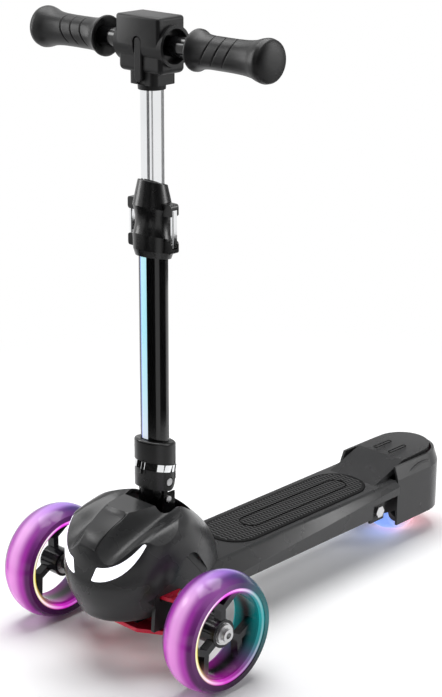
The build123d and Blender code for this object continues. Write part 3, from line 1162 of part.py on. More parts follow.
with BuildPart() as brake_fender:
    extrude(fender_plan(FENDER_BOTTOM), amount=FENDER_SHOULDER - FENDER_BOTTOM)
    extrude(fender_plan(FENDER_SHOULDER), amount=shoulder_height, taper=rim_taper)
    extrude(fender_plan(FENDER_BOTTOM - 1, FENDER_WALL), amount=FENDER_SHOULDER - FENDER_BOTTOM,
            mode=Mode.SUBTRACT)
    extrude(fender_plan(FENDER_SHOULDER - 1, FENDER_WALL), amount=shoulder_height + 2, taper=rim_taper,
            mode=Mode.SUBTRACT)
    block((-FENDER_WIDTH, FENDER_WIDTH), (fender_front_y - 3 * FENDER_WIDTH, fender_front_y),
          (0, 2 * FENDER_RIM),
          mode=Mode.SUBTRACT)
    with BuildSketch(across(-FENDER_RADIUS + FENDER_WALL / 2, REAR_AXLE_Y, REAR_AXLE_Z)) as web_face:
        Circle(web_outer)
        Circle(web_inner, mode=Mode.SUBTRACT)
        with BuildLine():
            Polyline((0, 0), (-web_outer * 1.4, web_outer * 0.95), (-web_outer, 3 * web_outer),
                     (web_outer, 3 * web_outer),
                     (web_outer * 0.8, web_outer), close=True)
        make_face(mode=Mode.INTERSECT)
    extrude(amount=FENDER_WIDTH - FENDER_WALL)
    for side in SIDES.values():
        with BuildSketch(across(side * arm_inner)):
            with Locations((BRAKE_PIVOT_Y, BRAKE_PIVOT_HEIGHT)):
                Circle(PIVOT_BOLT_DIAMETER / 2 + 4)
            with BuildLine():
                Polyline(
                    (BRAKE_PIVOT_Y, BRAKE_PIVOT_HEIGHT + 7),
                    (BRAKE_PIVOT_Y + 4, BRAKE_PIVOT_HEIGHT - 6),
                    (fender_front_y + 10, REAR_AXLE_Z + 18),
                    (REAR_AXLE_Y - 24, REAR_AXLE_Z + 42),
                    (REAR_AXLE_Y - 34, REAR_AXLE_Z + 38),
                    close=True,
                )
            make_face()
        extrude(amount=side * BRAKE_ARM_THICKNESS)
    rod(-FENDER_RADIUS, FENDER_RADIUS, BRAKE_PIVOT_Y, BRAKE_PIVOT_HEIGHT, PIVOT_BOLT_DIAMETER + 2 * RUNNING,
        Mode.SUBTRACT)
save(brake_fender, "brake_fender")

pad_spread = 22.0
with BuildPart() as brake_pad:
    with BuildSketch(across(-rear_half, REAR_AXLE_Y, REAR_AXLE_Z)):
        band_sector(pad_inner, web_inner - SEAT, 90 - pad_spread, 2 * pad_spread)
    extrude(amount=REAR_WHEEL_WIDTH)
save(brake_pad, "brake_pad")

# Nose cover: a thin shell over the front truck, with lamps, a hood panel and two side covers
nose_y = FRONT_AXLE_Y + NOSE_WIDEST


def nose_walls(inset=0.0):
    """The level sections of the nose, drawn in by an inset."""
    sections = []
    for height, half_width, front, rear in NOSE_SECTIONS:
        last = height == NOSE_SECTIONS[-1][0]
        with BuildSketch(Plane.XY.offset(height - inset if last else height)) as section:
            with BuildLine() as outline:
                EllipticalCenterArc((0, nose_y), half_width - inset, NOSE_WIDEST - front - inset,
                                    start_angle=180,
                                    arc_size=180)
                EllipticalCenterArc((0, nose_y), half_width - inset, rear - NOSE_WIDEST - inset,
                                    start_angle=0,
                                    arc_size=180)
            make_face(outline.edges())
        sections.append(section.sketch)
    return sections


def nose_top(side, inset=0.0):
    """What is cut away above one half of the top: hood edge, valley, fender crest and crease, front to rear."""
    sections = []
    for offset_y, edge_x, edge, valley, crest, crease in NOSE_TOP:
        line = [
            (0, edge + NOSE_HOOD_RISE - inset),
            (side * edge_x, edge - inset),
            (side * NOSE_VALLEY_X, valley - inset),
            (side * NOSE_CREST_X, crest - inset),
            (side * NOSE_CREASE_X, crease - inset),
            (side * NOSE_SKIRT_X, crease - NOSE_SKIRT_FALL - inset),
        ]
        ceiling = 2 * NOSE_SECTIONS[-1][0]
        with BuildSketch(upright(FRONT_AXLE_Y + offset_y)) as section:
            with BuildLine() as outline:
                Spline(*line)
                Polyline(line[-1], (side * NOSE_SKIRT_X, ceiling), (0, ceiling), line[0])
            make_face(outline.edges())
        sections.append(section.sketch)
    return sections


def nose_form(inset=0.0, open_below=False):
    """The body of the nose, drawn in from its outside by an inset."""
    walls = nose_walls(inset)
    with BuildPart() as above:
        for side in SIDES.values():
            loft(nose_top(side, inset))
    with BuildPart() as form:
        loft(walls)
        if open_below:
            extrude(walls[0], amount=-NOSE_SECTIONS[0][0])
        add(above.part, mode=Mode.SUBTRACT)
    return form.part


def well_outline(grow=0.0):
    """The arch beside each front wheel, seen from the side."""
    with BuildSketch(across(0, FRONT_AXLE_Y)) as outline:
        with BuildLine() as arch:
            Polyline((32, 110), (70, 62), (72, 30), (-46, 30), (-44, 70), (2, 110))
            ThreePointArc((2, 110), (17, 118), (32, 110))
        make_face(arch.edges())
        if grow:
            offset(amount=grow)
    return outline.sketch


def hood_outline(grow=0.0):
    with BuildSketch(Plane.XY.offset(UPPER_PLATE_TOP)) as outline:
        with BuildLine() as edge:
            Polyline((-15, FRONT_AXLE_Y - 21), (15, FRONT_AXLE_Y - 21), (11, FRONT_AXLE_Y - 60),
                     (-11, FRONT_AXLE_Y - 60), close=True)
        make_face(edge.edges())
        fillet(outline.vertices().group_by(Axis.Y)[-1], 4)
        if grow:
            offset(amount=grow)
    return outline.sketch


def lamp_outline(side, grow=0.0):
    """The swept-back outline of a head lamp, seen from the front."""
    with BuildSketch(upright(nose_y)) as outline:
        with BuildLine() as edge:
            Line((side * 11.7, 101), (side * 16.5, 115))
            ThreePointArc((side * 16.5, 115), (side * 36, 121), (side * 49.5, 140))
            Line((side * 49.5, 140), (side * 51.5, 138.5))
            ThreePointArc((side * 51.5, 138.5), (side * 38, 110), (side * 11.7, 101))
        make_face(edge.edges())
        fillet(outline.vertices(), 1.0)
        if grow:
            offset(amount=grow)
    return outline.sketch


nose_outside = nose_form()
nose_seat = nose_form(NOSE_WALL)
cover_boss_x = 42.0
lamp_reach = -NOSE_WIDEST + NOSE_OVERHANG

with BuildPart() as well_cut:
    for side in SIDES.values():
        extrude(well_outline().moved(Location((side * WELL_WIDTH / 2, 0, 0))), amount=side * WELL_WIDTH)

with BuildPart() as nose_cavity:
    add(nose_form(NOSE_WALL, open_below=True))
    for side in SIDES.values():
        extrude(well_outline(NOSE_WALL).moved(Location((side * (WELL_WIDTH / 2 - NOSE_WALL), 0, 0))),
                amount=side * WELL_WIDTH, mode=Mode.SUBTRACT)

side_panel_bottom = LOWER_PLATE_TOP + 1
panel_inner = WELL_WIDTH / 2 - NOSE_WALL
flange_thickness = 1.5
flange_lap = 4.0


def panel_outline(grow=0.0):
    """The removable cover inside each wheel arch, seen from the side."""
    with BuildSketch(across(0, FRONT_AXLE_Y)) as outline:
        with BuildLine() as edge:
            Polyline((-24, side_panel_bottom), (-21, 84), (17, 115.5), (62, 62), (63, side_panel_bottom),
                     close=True)
        make_face(edge.edges())
        fillet(outline.vertices().group_by(Axis.Y)[-1], 6)
        if grow:
            offset(amount=grow)
    return outline.sketch


with BuildPart() as hood_cut:
    extrude(hood_outline(SEAM), amount=NOSE_SECTIONS[-1][0])
    add(nose_form(HOOD_SEAT), mode=Mode.SUBTRACT)

with BuildPart() as cover_bosses:
    for side in SIDES.values():
        post(side * cover_boss_x, FRONT_AXLE_Y - 2, UPPER_PLATE_TOP + SEAT, NOSE_SECTIONS[-1][0], 8)
    add(nose_form(NOSE_WALL / 2), mode=Mode.INTERSECT)

with BuildPart() as nose_cover:
    add(nose_outside)
    add(well_cut.part, mode=Mode.SUBTRACT)
    add(nose_cavity.part, mode=Mode.SUBTRACT)
    with BuildSketch(Plane.XY.offset(NOSE_SECTIONS[-2][0] - 20)):
        with Locations((0, STEM_Y + 1)):
            RectangleRounded(POST_HOLE_WIDTH, POST_HOLE_LENGTH, 14)
    extrude(amount=40, mode=Mode.SUBTRACT)
    for side in SIDES.values():
        extrude(panel_outline(SEAM).moved(Location((side * (panel_inner - 2), 0, 0))),
                amount=side * WELL_WIDTH,
                mode=Mode.SUBTRACT)
        extrude(lamp_outline(side, SEAM), amount=lamp_reach, mode=Mode.SUBTRACT)
    add(deck_form(deck_front_y, deck_rear_y, SEAM), mode=Mode.SUBTRACT)
    block((-WELL_WIDTH, WELL_WIDTH), (FRONT_AXLE_Y - 16, deck_front_y + 40), (0, shelf_top + 4),
          mode=Mode.SUBTRACT)
    add(hood_cut.part, mode=Mode.SUBTRACT)
    add(cover_bosses.part)
save(nose_cover, "nose_cover")

with BuildPart() as hood_panel:
    add(nose_form(-HOOD_PROUD))
    extrude(hood_outline(), amount=2 * NOSE_SECTIONS[-1][0], mode=Mode.INTERSECT)
    add(nose_form(HOOD_SEAT - SEAT), mode=Mode.SUBTRACT)
save(hood_panel, "hood_panel")

for name, side in SIDES.items():
    with BuildPart() as headlamp:
        add(nose_outside)
        extrude(lamp_outline(side), amount=lamp_reach, mode=Mode.INTERSECT)
        add(nose_seat, mode=Mode.SUBTRACT)
    save(headlamp, f"headlamp_{name}")

    with BuildPart() as side_cover:
        extrude(panel_outline(flange_lap).moved(Location((side * (panel_inner - SEAT), 0, 0))),
                amount=-side * flange_thickness)
        block((-WELL_WIDTH, WELL_WIDTH), (FRONT_AXLE_Y - 60, FRONT_AXLE_Y + 100), (0, UPPER_PLATE_TOP + 8),
              mode=Mode.SUBTRACT)
        extrude(panel_outline().moved(Location((side * (panel_inner - flange_thickness), 0, 0))),
                amount=side * (NOSE_WALL + flange_thickness))
        block((-WELL_WIDTH, WELL_WIDTH), (FRONT_AXLE_Y - 16, FRONT_AXLE_Y + plate_end_radius + 1),
              (UPPER_PLATE_BOTTOM - SEAM, UPPER_PLATE_TOP + SEAM), mode=Mode.SUBTRACT)
        block((-WELL_WIDTH, WELL_WIDTH), (STEM_Y - TIE_ROD_WIDTH / 2 - 2, STEM_Y + TIE_ROD_WIDTH / 2 + 2),
              (TIE_ROD_HEIGHT - TIE_ROD_THICKNESS, TIE_ROD_HEIGHT + TIE_ROD_THICKNESS), mode=Mode.SUBTRACT)
    save(side_cover, f"side_cover_{name}")

with BuildPart() as lamp_trays:
    add(nose_form(NOSE_WALL + SEAT))
    extrude(lamp_outline(1, 2.0) + lamp_outline(-1, 2.0), amount=lamp_reach, mode=Mode.INTERSECT)
    add(nose_form(NOSE_WALL + 2), mode=Mode.SUBTRACT)
save(lamp_trays, "lamp_trays")
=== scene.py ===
import math

import bmesh
import bpy
from mathutils import Matrix, Vector


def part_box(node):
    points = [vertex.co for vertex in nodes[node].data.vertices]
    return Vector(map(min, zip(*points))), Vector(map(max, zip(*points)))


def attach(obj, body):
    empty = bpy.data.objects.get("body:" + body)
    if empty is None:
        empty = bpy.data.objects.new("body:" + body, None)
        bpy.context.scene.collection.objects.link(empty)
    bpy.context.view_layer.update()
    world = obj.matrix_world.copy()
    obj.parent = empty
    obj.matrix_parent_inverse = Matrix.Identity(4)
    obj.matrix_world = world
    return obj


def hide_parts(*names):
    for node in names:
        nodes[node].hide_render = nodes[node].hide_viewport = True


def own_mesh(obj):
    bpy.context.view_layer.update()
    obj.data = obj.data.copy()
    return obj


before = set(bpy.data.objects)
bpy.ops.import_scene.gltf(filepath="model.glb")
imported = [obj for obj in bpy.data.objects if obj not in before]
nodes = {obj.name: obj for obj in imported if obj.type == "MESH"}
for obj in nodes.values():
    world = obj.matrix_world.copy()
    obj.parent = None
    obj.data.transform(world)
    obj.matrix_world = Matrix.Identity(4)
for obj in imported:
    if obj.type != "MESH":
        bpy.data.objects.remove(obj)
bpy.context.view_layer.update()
scene = bpy.context.scene
scene.view_settings.view_transform = "Standard"

# The studio: a pale floor that fades into a white room, so the scooter stands on its own
# soft shadow. Three large soft boxes light it. Grey and black cards round the stem show
# only in gloss and chrome, and draw the long dark lines along the tubes.


def new_material(name):
    """A material with its node tree and its shader."""
    material = bpy.data.materials.new(name)
    material.use_nodes = True
    tree = material.node_tree
    return material, tree, tree.nodes["Principled BSDF"]


def node_math(tree, operation, first, second=None):
    """The result of an operation on sockets or plain numbers."""
    node = tree.nodes.new("ShaderNodeMath")
    node.operation = operation
    for socket, value in zip(node.inputs, (first, second)):
        if isinstance(value, (int, float)):
            socket.default_value = value
        elif value is not None:
            tree.links.new(value, socket)
    return node.outputs["Value"]


def risen(tree, value, begin, full, ease="SMOOTHSTEP"):
    """Rises from 0 to 1 while a value passes from begin to full."""
    rise = tree.nodes.new("ShaderNodeMapRange")
    rise.interpolation_type = ease
    rise.inputs["From Min"].default_value = begin
    rise.inputs["From Max"].default_value = full
    tree.links.new(value, rise.inputs["Value"])
    return rise.outputs["Result"]


def looked_at(tree):
    """1 for rays from the camera, from gloss and through clear plastic, 0 for the rest."""
    rays = tree.nodes.new("ShaderNodeLightPath")
    mirrored = node_math(tree, "MAXIMUM", rays.outputs["Is Camera Ray"], rays.outputs["Is Glossy Ray"])
    return node_math(tree, "MAXIMUM", mirrored, rays.outputs["Is Transmission Ray"])


floor_radius = 3.2
fade_begin, fade_full = 0.28, 0.9
shape = bmesh.new()
bmesh.ops.create_circle(shape, cap_ends=True, cap_tris=False, segments=96, radius=floor_radius)
floor_mesh = bpy.data.meshes.new("studio_floor")
shape.to_mesh(floor_mesh)
shape.free()
studio_floor = bpy.data.objects.new("studio_floor", floor_mesh)
scene.collection.objects.link(studio_floor)

floor_paint, tree, shader = new_material("floor_paint")
shader.inputs["Base Color"].default_value = (0.93, 0.93, 0.935, 1)
shader.inputs["Roughness"].default_value = 0.75
shader.inputs["Specular IOR Level"].default_value = 0.1
place = tree.nodes.new("ShaderNodeTexCoord")
reach = tree.nodes.new("ShaderNodeVectorMath")
reach.operation = "LENGTH"
tree.links.new(place.outputs["Object"], reach.inputs[0])
fade = risen(tree, reach.outputs["Value"], fade_begin, fade_full)
white_room = tree.nodes.new("ShaderNodeEmission")
white_room.inputs["Color"].default_value = (1, 1, 1, 1)
blend = tree.nodes.new("ShaderNodeMixShader")
tree.links.new(node_math(tree, "MULTIPLY", fade, looked_at(tree)), blend.inputs["Fac"])
tree.links.new(shader.outputs["BSDF"], blend.inputs[1])
tree.links.new(white_room.outputs["Emission"], blend.inputs[2])
tree.links.new(blend.outputs["Shader"], tree.nodes["Material Output"].inputs["Surface"])
floor_mesh.materials.append(floor_paint)

world = bpy.data.worlds.new("white_studio")
scene.world = world
world.use_nodes = True
tree = world.node_tree
tree.nodes.clear()
room_fill = tree.nodes.new("ShaderNodeBackground")
room_fill.inputs["Color"].default_value = (0.96, 0.97, 1.0, 1)
room_fill.inputs["Strength"].default_value = 0.12
room_white = tree.nodes.new("ShaderNodeBackground")
room_white.inputs["Color"].default_value = (1, 1, 1, 1)
room_white.inputs["Strength"].default_value = 1.0
choose = tree.nodes.new("ShaderNodeMixShader")
output = tree.nodes.new("ShaderNodeOutputWorld")
tree.links.new(looked_at(tree), choose.inputs["Fac"])
tree.links.new(room_fill.outputs["Background"], choose.inputs[1])
tree.links.new(room_white.outputs["Background"], choose.inputs[2])
tree.links.new(choose.outputs["Shader"], output.inputs["Surface"])


def soft_box(name, place, aim, width, height, watts):
    """A rectangular studio light that faces its aim."""
    light = bpy.data.lights.new(name, "AREA")
    light.shape = "RECTANGLE"
    light.size = width
    light.size_y = height
    light.energy = watts
    holder = bpy.data.objects.new(name, light)
    holder.location = place
    holder.rotation_euler = (Vector(aim) - Vector(place)).to_track_quat("-Z", "Y").to_euler()
    scene.collection.objects.link(holder)


soft_box("top_box", (-0.3, 0.15, 1.9), (0, 0, 0.2), 1.5, 1.5, 40)
soft_box("left_box", (-1.7, -1.1, 1.0), (0, -0.1, 0.3), 0.7, 1.6, 24)
soft_box("right_box", (1.6, 1.5, 1.0), (0, 0, 0.2), 0.8, 1.7, 28)


def card_paint(name, level):
    """Matt grey card, as light as its level says."""
    material, tree, shader = new_material(name)
    shader.inputs["Base Color"].default_value = (level, level, level, 1)
    shader.inputs["Roughness"].default_value = 0.9
    shader.inputs["Specular IOR Level"].default_value = 0.0
    return material


stem_spot = Vector((0, -0.168, 0))
card_strips = 12


def shine_card(name, paint, bearing, spread, distance, low, high):
    """A card round the stem that only shows in gloss, with its bearing and spread in degrees."""
    shape = bmesh.new()
    edges = []
    for step in range(card_strips + 1):
        angle = math.radians(bearing - spread / 2 + spread * step / card_strips)
        spot = stem_spot + Vector((math.cos(angle), math.sin(angle), 0)) * distance
        edges.append([shape.verts.new(spot + Vector((0, 0, height))) for height in (low, high)])
    for first, second in zip(edges, edges[1:]):
        shape.faces.new((first[0], second[0], second[1], first[1]))
    mesh = bpy.data.meshes.new(name)
    shape.to_mesh(mesh)
    shape.free()
    mesh.materials.append(paint)
    card = bpy.data.objects.new(name, mesh)
    scene.collection.objects.link(card)
    for kind in ("camera", "diffuse", "transmission", "volume_scatter", "shadow"):
        setattr(card, "visible_" + kind, False)


line_grey = card_paint("line_grey", 0.16)
edge_grey = card_paint("edge_grey", 0.3)
card_black = card_paint("card_black", 0.01)
shine_card("chrome_line_left", line_grey, -84, 27, 0.6, 0.2, 0.95)
shine_card("chrome_line_middle", edge_grey, -44, 16, 0.6, 0.2, 0.95)
shine_card("chrome_edge_right", edge_grey, 95, 76, 0.6, 0.2, 0.95)
shine_card("dark_front", card_black, -44, 130, 0.9, 0.43, 1.0)
for level, (low, high) in enumerate(((0.0, 0.04), (0.1, 0.335))):
    shine_card(f"dark_left_{level}", card_black, -97, 126, 0.32, low, high)
    shine_card(f"dark_right_{level}", card_black, 30, 60, 0.36, low, high)

# The camera stands where the photographer stood: a little above the handlebar, off the
# front left corner of the scooter, with a short telephoto lens.
picture_height = 697.0
focal_pixels = 1806.28
camera_data = bpy.data.cameras.new("photo_camera")
camera_data.sensor_width = 36.0
camera_data.lens = camera_data.sensor_width * focal_pixels / picture_height
camera = bpy.data.objects.new("photo_camera", camera_data)
camera_place = (1.17634, -1.31417, 0.85974)
look = Vector((-0.65256, 0.68756, -0.31847)).normalized()
turn = look.to_track_quat("-Z", "Y").to_matrix().to_4x4()
roll = Matrix.Rotation(math.radians(0.2), 4, "Z")
camera.matrix_world = Matrix.Translation(camera_place) @ turn @ roll
scene.collection.objects.link(camera)
scene.camera = camera

# Deck and nose: injection-moulded black plastic with a fine spark-eroded grain, a little
# shinier where shoes and hands have polished it. The nose cover, its hood and its side
# covers screw down over the truck, and two thin marks are cut into the tail plate.
grain = bpy.data.node_groups.new("moulded_grain", "ShaderNodeTree")
for name, kind in (("Grain Size", "Float"), ("Rub Size", "Float"), ("Dark", "Color"), ("Light", "Color"),
                   ("Smooth", "Float"), ("Rough", "Float")):
    grain.interface.new_socket(name, in_out="INPUT", socket_type=f"NodeSocket{kind}")
for name, kind in (("Color", "Color"), ("Roughness", "Float"), ("Height", "Float")):
    grain.interface.new_socket(name, in_out="OUTPUT", socket_type=f"NodeSocket{kind}")
given = grain.nodes.new("NodeGroupInput")
result = grain.nodes.new("NodeGroupOutput")
place = grain.nodes.new("ShaderNodeTexCoord")
pips = grain.nodes.new("ShaderNodeTexNoise")
pips.inputs["Detail"].default_value = 3
rubs = grain.nodes.new("ShaderNodeTexNoise")
rubs.inputs["Detail"].default_value = 5
tint = grain.nodes.new("ShaderNodeMix")
tint.data_type = "RGBA"
sheen = grain.nodes.new("ShaderNodeMapRange")
sheen.inputs["From Min"].default_value = 0.3
sheen.inputs["From Max"].default_value = 0.7
for source, target in (
        (place.outputs["Object"], pips.inputs["Vector"]), (place.outputs["Object"], rubs.inputs["Vector"]),
        (given.outputs["Grain Size"], pips.inputs["Scale"]), (given.outputs["Rub Size"], rubs.inputs["Scale"]),
        (rubs.outputs["Fac"], tint.inputs["Factor"]), (rubs.outputs["Fac"], sheen.inputs["Value"]),
        (given.outputs["Dark"], tint.inputs["A"]), (given.outputs["Light"], tint.inputs["B"]),
        (given.outputs["Smooth"], sheen.inputs["To Min"]), (given.outputs["Rough"], sheen.inputs["To Max"]),
        (tint.outputs["Result"], result.inputs["Color"]), (sheen.outputs["Result"], result.inputs["Roughness"]),
        (pips.outputs["Fac"], result.inputs["Height"])):
    grain.links.new(source, target)


def grained(name, dark, light, smooth, rough, depth=0.00012, grain_size=1400.0, rub_size=14.0, shine=0.3):
    """A material on the moulded grain group, with its own colours and sheen."""
    material, tree, shader = new_material(name)
    shader.inputs["Specular IOR Level"].default_value = shine
    skin = tree.nodes.new("ShaderNodeGroup")
    skin.node_tree = grain
    skin.inputs["Grain Size"].default_value = grain_size
    skin.inputs["Rub Size"].default_value = rub_size
    skin.inputs["Dark"].default_value = (*dark, 1)
    skin.inputs["Light"].default_value = (*light, 1)
    skin.inputs["Smooth"].default_value = smooth
    skin.inputs["Rough"].default_value = rough
    bump = tree.nodes.new("ShaderNodeBump")
    bump.inputs["Strength"].default_value = 0.35
    bump.inputs["Distance"].default_value = depth
    tree.links.new(skin.outputs["Color"], shader.inputs["Base Color"])
    tree.links.new(skin.outputs["Roughness"], shader.inputs["Roughness"])
    tree.links.new(skin.outputs["Height"], bump.inputs["Height"])
    tree.links.new(bump.outputs["Normal"], shader.inputs["Normal"])
    return material, tree, shader


def dress(material, *names):
    """Puts a finish on CAD nodes."""
    for name in names:
        slots = nodes[name].data.materials
        slots.clear()
        slots.append(material)


def placed(shape, name, material, body, crease=38):
    """Keeps a finished shape as a piece that rides on a body, sharp at edges over the crease angle."""
    bmesh.ops.recalc_face_normals(shape, faces=shape.faces)
    mesh = bpy.data.meshes.new(name)
    shape.to_mesh(mesh)
    shape.free()
    mesh.shade_smooth()
    if crease:
        mesh.set_sharp_from_angle(angle=math.radians(crease))
    mesh.materials.append(material)
    piece = bpy.data.objects.new(name, mesh)
    scene.collection.objects.link(piece)
    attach(piece, body)
    return piece


def bead(name, points, radius, material, body):
    """A thin round bead along a closed level line."""
    sides = 8
    angles = [2 * math.pi * side / sides for side in range(sides)]
    up = Vector((0, 0, 1))
    shape = bmesh.new()
    rings = []
    for number, point in enumerate(points):
        outward = (points[(number + 1) % len(points)] - points[number - 1]).normalized().cross(up)
        rings.append([shape.verts.new(point + radius * (math.cos(angle) * outward + math.sin(angle) * up))
                      for angle in angles])
    for first, second in zip(rings, rings[1:] + rings[:1]):
        for side in range(sides):
            after = (side + 1) % sides
            shape.faces.new((first[side], first[after], second[after], second[side]))
    return placed(shape, name, material, body)


def rounded_outline(low, high, corner, height):
    """Points round a level rectangle with round corners."""
    steps = 10
    points = []
    middles = ((high[0] - corner, high[1] - corner), (low[0] + corner, high[1] - corner),
               (low[0] + corner, low[1] + corner), (high[0] - corner, low[1] + corner))
    for quarter, (x, y) in enumerate(middles):
        for step in range(steps + 1):
            angle = math.pi / 2 * (quarter + step / steps)
            points.append(Vector((x + corner * math.cos(angle), y + corner * math.sin(angle), height)))
    return points


body_plastic = grained("body_plastic", (0.025, 0.0252, 0.026), (0.033, 0.0332, 0.034), 0.2, 0.32, shine=0.3)[0]
dress(body_plastic, "deck_shell", "nose_cover", "hood_panel", "side_cover_left", "side_cover_right")
# The two tail marks are drawn as thin near-black beads: painted shade, standing in for the shadow inside the cuts.
groove_shade_black = grained("groove_shade_black", (0.002, 0.002, 0.002), (0.004, 0.004, 0.004), 0.7, 0.85, shine=0.05)[0]
mark_front, mark_rear = 0.190, 0.219
mark_offset, mark_half, mark_corner, mark_bead = 0.0105, 0.0022, 0.0021, 0.0005
deck_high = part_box("deck_shell")[1]
for side, name in ((1, "left"), (-1, "right")):
    mark = rounded_outline((side * mark_offset - mark_half, mark_front), (side * mark_offset + mark_half, mark_rear),
                           mark_corner, deck_high.z)
    bead(f"tail_mark_{name}", mark, mark_bead, groove_shade_black, "chassis")

# Grip pad: a soft rubber mat let into the deck, moulded with rows of fine wavy ribs and
# one raised bead round its middle, so that a shoe doesn't slip.
pad_rubber = grained("pad_rubber", (0.006, 0.006, 0.0063), (0.01, 0.01, 0.0103), 0.6, 0.75, shine=0.08)[0]
rib_rubber = grained("rib_rubber", (0.05, 0.05, 0.051), (0.07, 0.07, 0.071), 0.42, 0.56, shine=0.15)[0]
dress(pad_rubber, "grip_pad")

pad_low, pad_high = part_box("grip_pad")
pad_size = pad_high - pad_low
pad_middle = (pad_low + pad_high) / 2


def number_inputs(group, names):
    """Gives a geometry tree its result and named number inputs, and returns the inputs' identifiers."""
    group.interface.new_socket("Geometry", in_out="OUTPUT", socket_type="NodeSocketGeometry")
    return {name: group.interface.new_socket(name, in_out="INPUT", socket_type="NodeSocketFloat").identifier
            for name in names}


tread = bpy.data.node_groups.new("wavy_tread", "GeometryNodeTree")
tread_inputs = number_inputs(tread, ("Width", "Length", "Corner", "Pitch", "Wave Height", "Wave Length",
                                     "Rib Radius"))
points_per_rib, rib_sides = 66, 6
rib_clearance = 0.0016
shortest_row_gap = 0.0005
given = tread.nodes.new("NodeGroupInput")
result = tread.nodes.new("NodeGroupOutput")
sheet = tread.nodes.new("GeometryNodeMeshGrid")
sheet.inputs["Vertices X"].default_value = points_per_rib
rows = node_math(tread, "DIVIDE", given.outputs["Length"], given.outputs["Pitch"])
tread.links.new(given.outputs["Width"], sheet.inputs["Size X"])
tread.links.new(given.outputs["Length"], sheet.inputs["Size Y"])
tread.links.new(rows, sheet.inputs["Vertices Y"])
spot = tread.nodes.new("GeometryNodeInputPosition")
split = tread.nodes.new("ShaderNodeSeparateXYZ")
tread.links.new(spot.outputs["Position"], split.inputs["Vector"])
beyond = []
for axis, size in (("X", "Width"), ("Y", "Length")):
    half = node_math(tread, "MULTIPLY", given.outputs[size], 0.5)
    straight = node_math(tread, "SUBTRACT", half, given.outputs["Corner"])
    past = node_math(tread, "SUBTRACT", node_math(tread, "ABSOLUTE", split.outputs[axis]), straight)
    beyond.append(node_math(tread, "POWER", node_math(tread, "MAXIMUM", past, 0.0), 2.0))
corner_reach = node_math(tread, "SQRT", node_math(tread, "ADD", *beyond))
corner_limit = node_math(tread, "SUBTRACT", given.outputs["Corner"], rib_clearance)
trim = tread.nodes.new("GeometryNodeDeleteGeometry")
trim.domain = "POINT"
tread.links.new(sheet.outputs["Mesh"], trim.inputs["Geometry"])
tread.links.new(node_math(tread, "GREATER_THAN", corner_reach, corner_limit), trim.inputs["Selection"])
ends = tread.nodes.new("GeometryNodeInputMeshEdgeVertices")
step = tread.nodes.new("ShaderNodeVectorMath")
step.operation = "SUBTRACT"
tread.links.new(ends.outputs["Position 1"], step.inputs[0])
tread.links.new(ends.outputs["Position 2"], step.inputs[1])
step_split = tread.nodes.new("ShaderNodeSeparateXYZ")
tread.links.new(step.outputs["Vector"], step_split.inputs["Vector"])
row_gap = node_math(tread, "ABSOLUTE", step_split.outputs["Y"])
unlink = tread.nodes.new("GeometryNodeDeleteGeometry")
unlink.domain = "EDGE"
unlink.mode = "EDGE_FACE"
tread.links.new(trim.outputs["Geometry"], unlink.inputs["Geometry"])
tread.links.new(node_math(tread, "GREATER_THAN", row_gap, shortest_row_gap), unlink.inputs["Selection"])
waves = node_math(tread, "DIVIDE", split.outputs["X"], given.outputs["Wave Length"])
phase = node_math(tread, "MULTIPLY", waves, 2 * math.pi)
sway = node_math(tread, "MULTIPLY", node_math(tread, "SINE", phase), given.outputs["Wave Height"])
shift = tread.nodes.new("ShaderNodeCombineXYZ")
tread.links.new(sway, shift.inputs["Y"])
wave = tread.nodes.new("GeometryNodeSetPosition")
tread.links.new(unlink.outputs["Geometry"], wave.inputs["Geometry"])
tread.links.new(shift.outputs["Vector"], wave.inputs["Offset"])
lines = tread.nodes.new("GeometryNodeMeshToCurve")
tread.links.new(wave.outputs["Geometry"], lines.inputs["Mesh"])
rib = tread.nodes.new("GeometryNodeCurvePrimitiveCircle")
rib.inputs["Resolution"].default_value = rib_sides
tread.links.new(given.outputs["Rib Radius"], rib.inputs["Radius"])
ribs = tread.nodes.new("GeometryNodeCurveToMesh")
ribs.inputs["Fill Caps"].default_value = True
tread.links.new(lines.outputs["Curve"], ribs.inputs["Curve"])
tread.links.new(rib.outputs["Curve"], ribs.inputs["Profile Curve"])
real = tread.nodes.new("GeometryNodeRealizeInstances")
paint = tread.nodes.new("GeometryNodeSetMaterial")
paint.inputs["Material"].default_value = rib_rubber
tread.links.new(ribs.outputs["Mesh"], real.inputs["Geometry"])
tread.links.new(real.outputs["Geometry"], paint.inputs["Geometry"])
tread.links.new(paint.outputs["Geometry"], result.inputs["Geometry"])


def grown(name, group, settings, place):
    """Runs a geometry tree and keeps its result as a plain mesh object, moved to its place."""
    holder = bpy.data.objects.new(name + "_seed", bpy.data.meshes.new(name + "_seed"))
    scene.collection.objects.link(holder)
    modifier = holder.modifiers.new("grow", "NODES")
    modifier.node_group = group
    for identifier, value in settings.items():
        modifier[identifier] = value
    bpy.context.view_layer.update()
    made = bpy.data.meshes.new_from_object(holder.evaluated_get(bpy.context.evaluated_depsgraph_get()))
    bpy.data.objects.remove(holder)
    made.name = name
    made.transform(Matrix.Translation(place))
    piece = bpy.data.objects.new(name, made)
    scene.collection.objects.link(piece)
    return piece


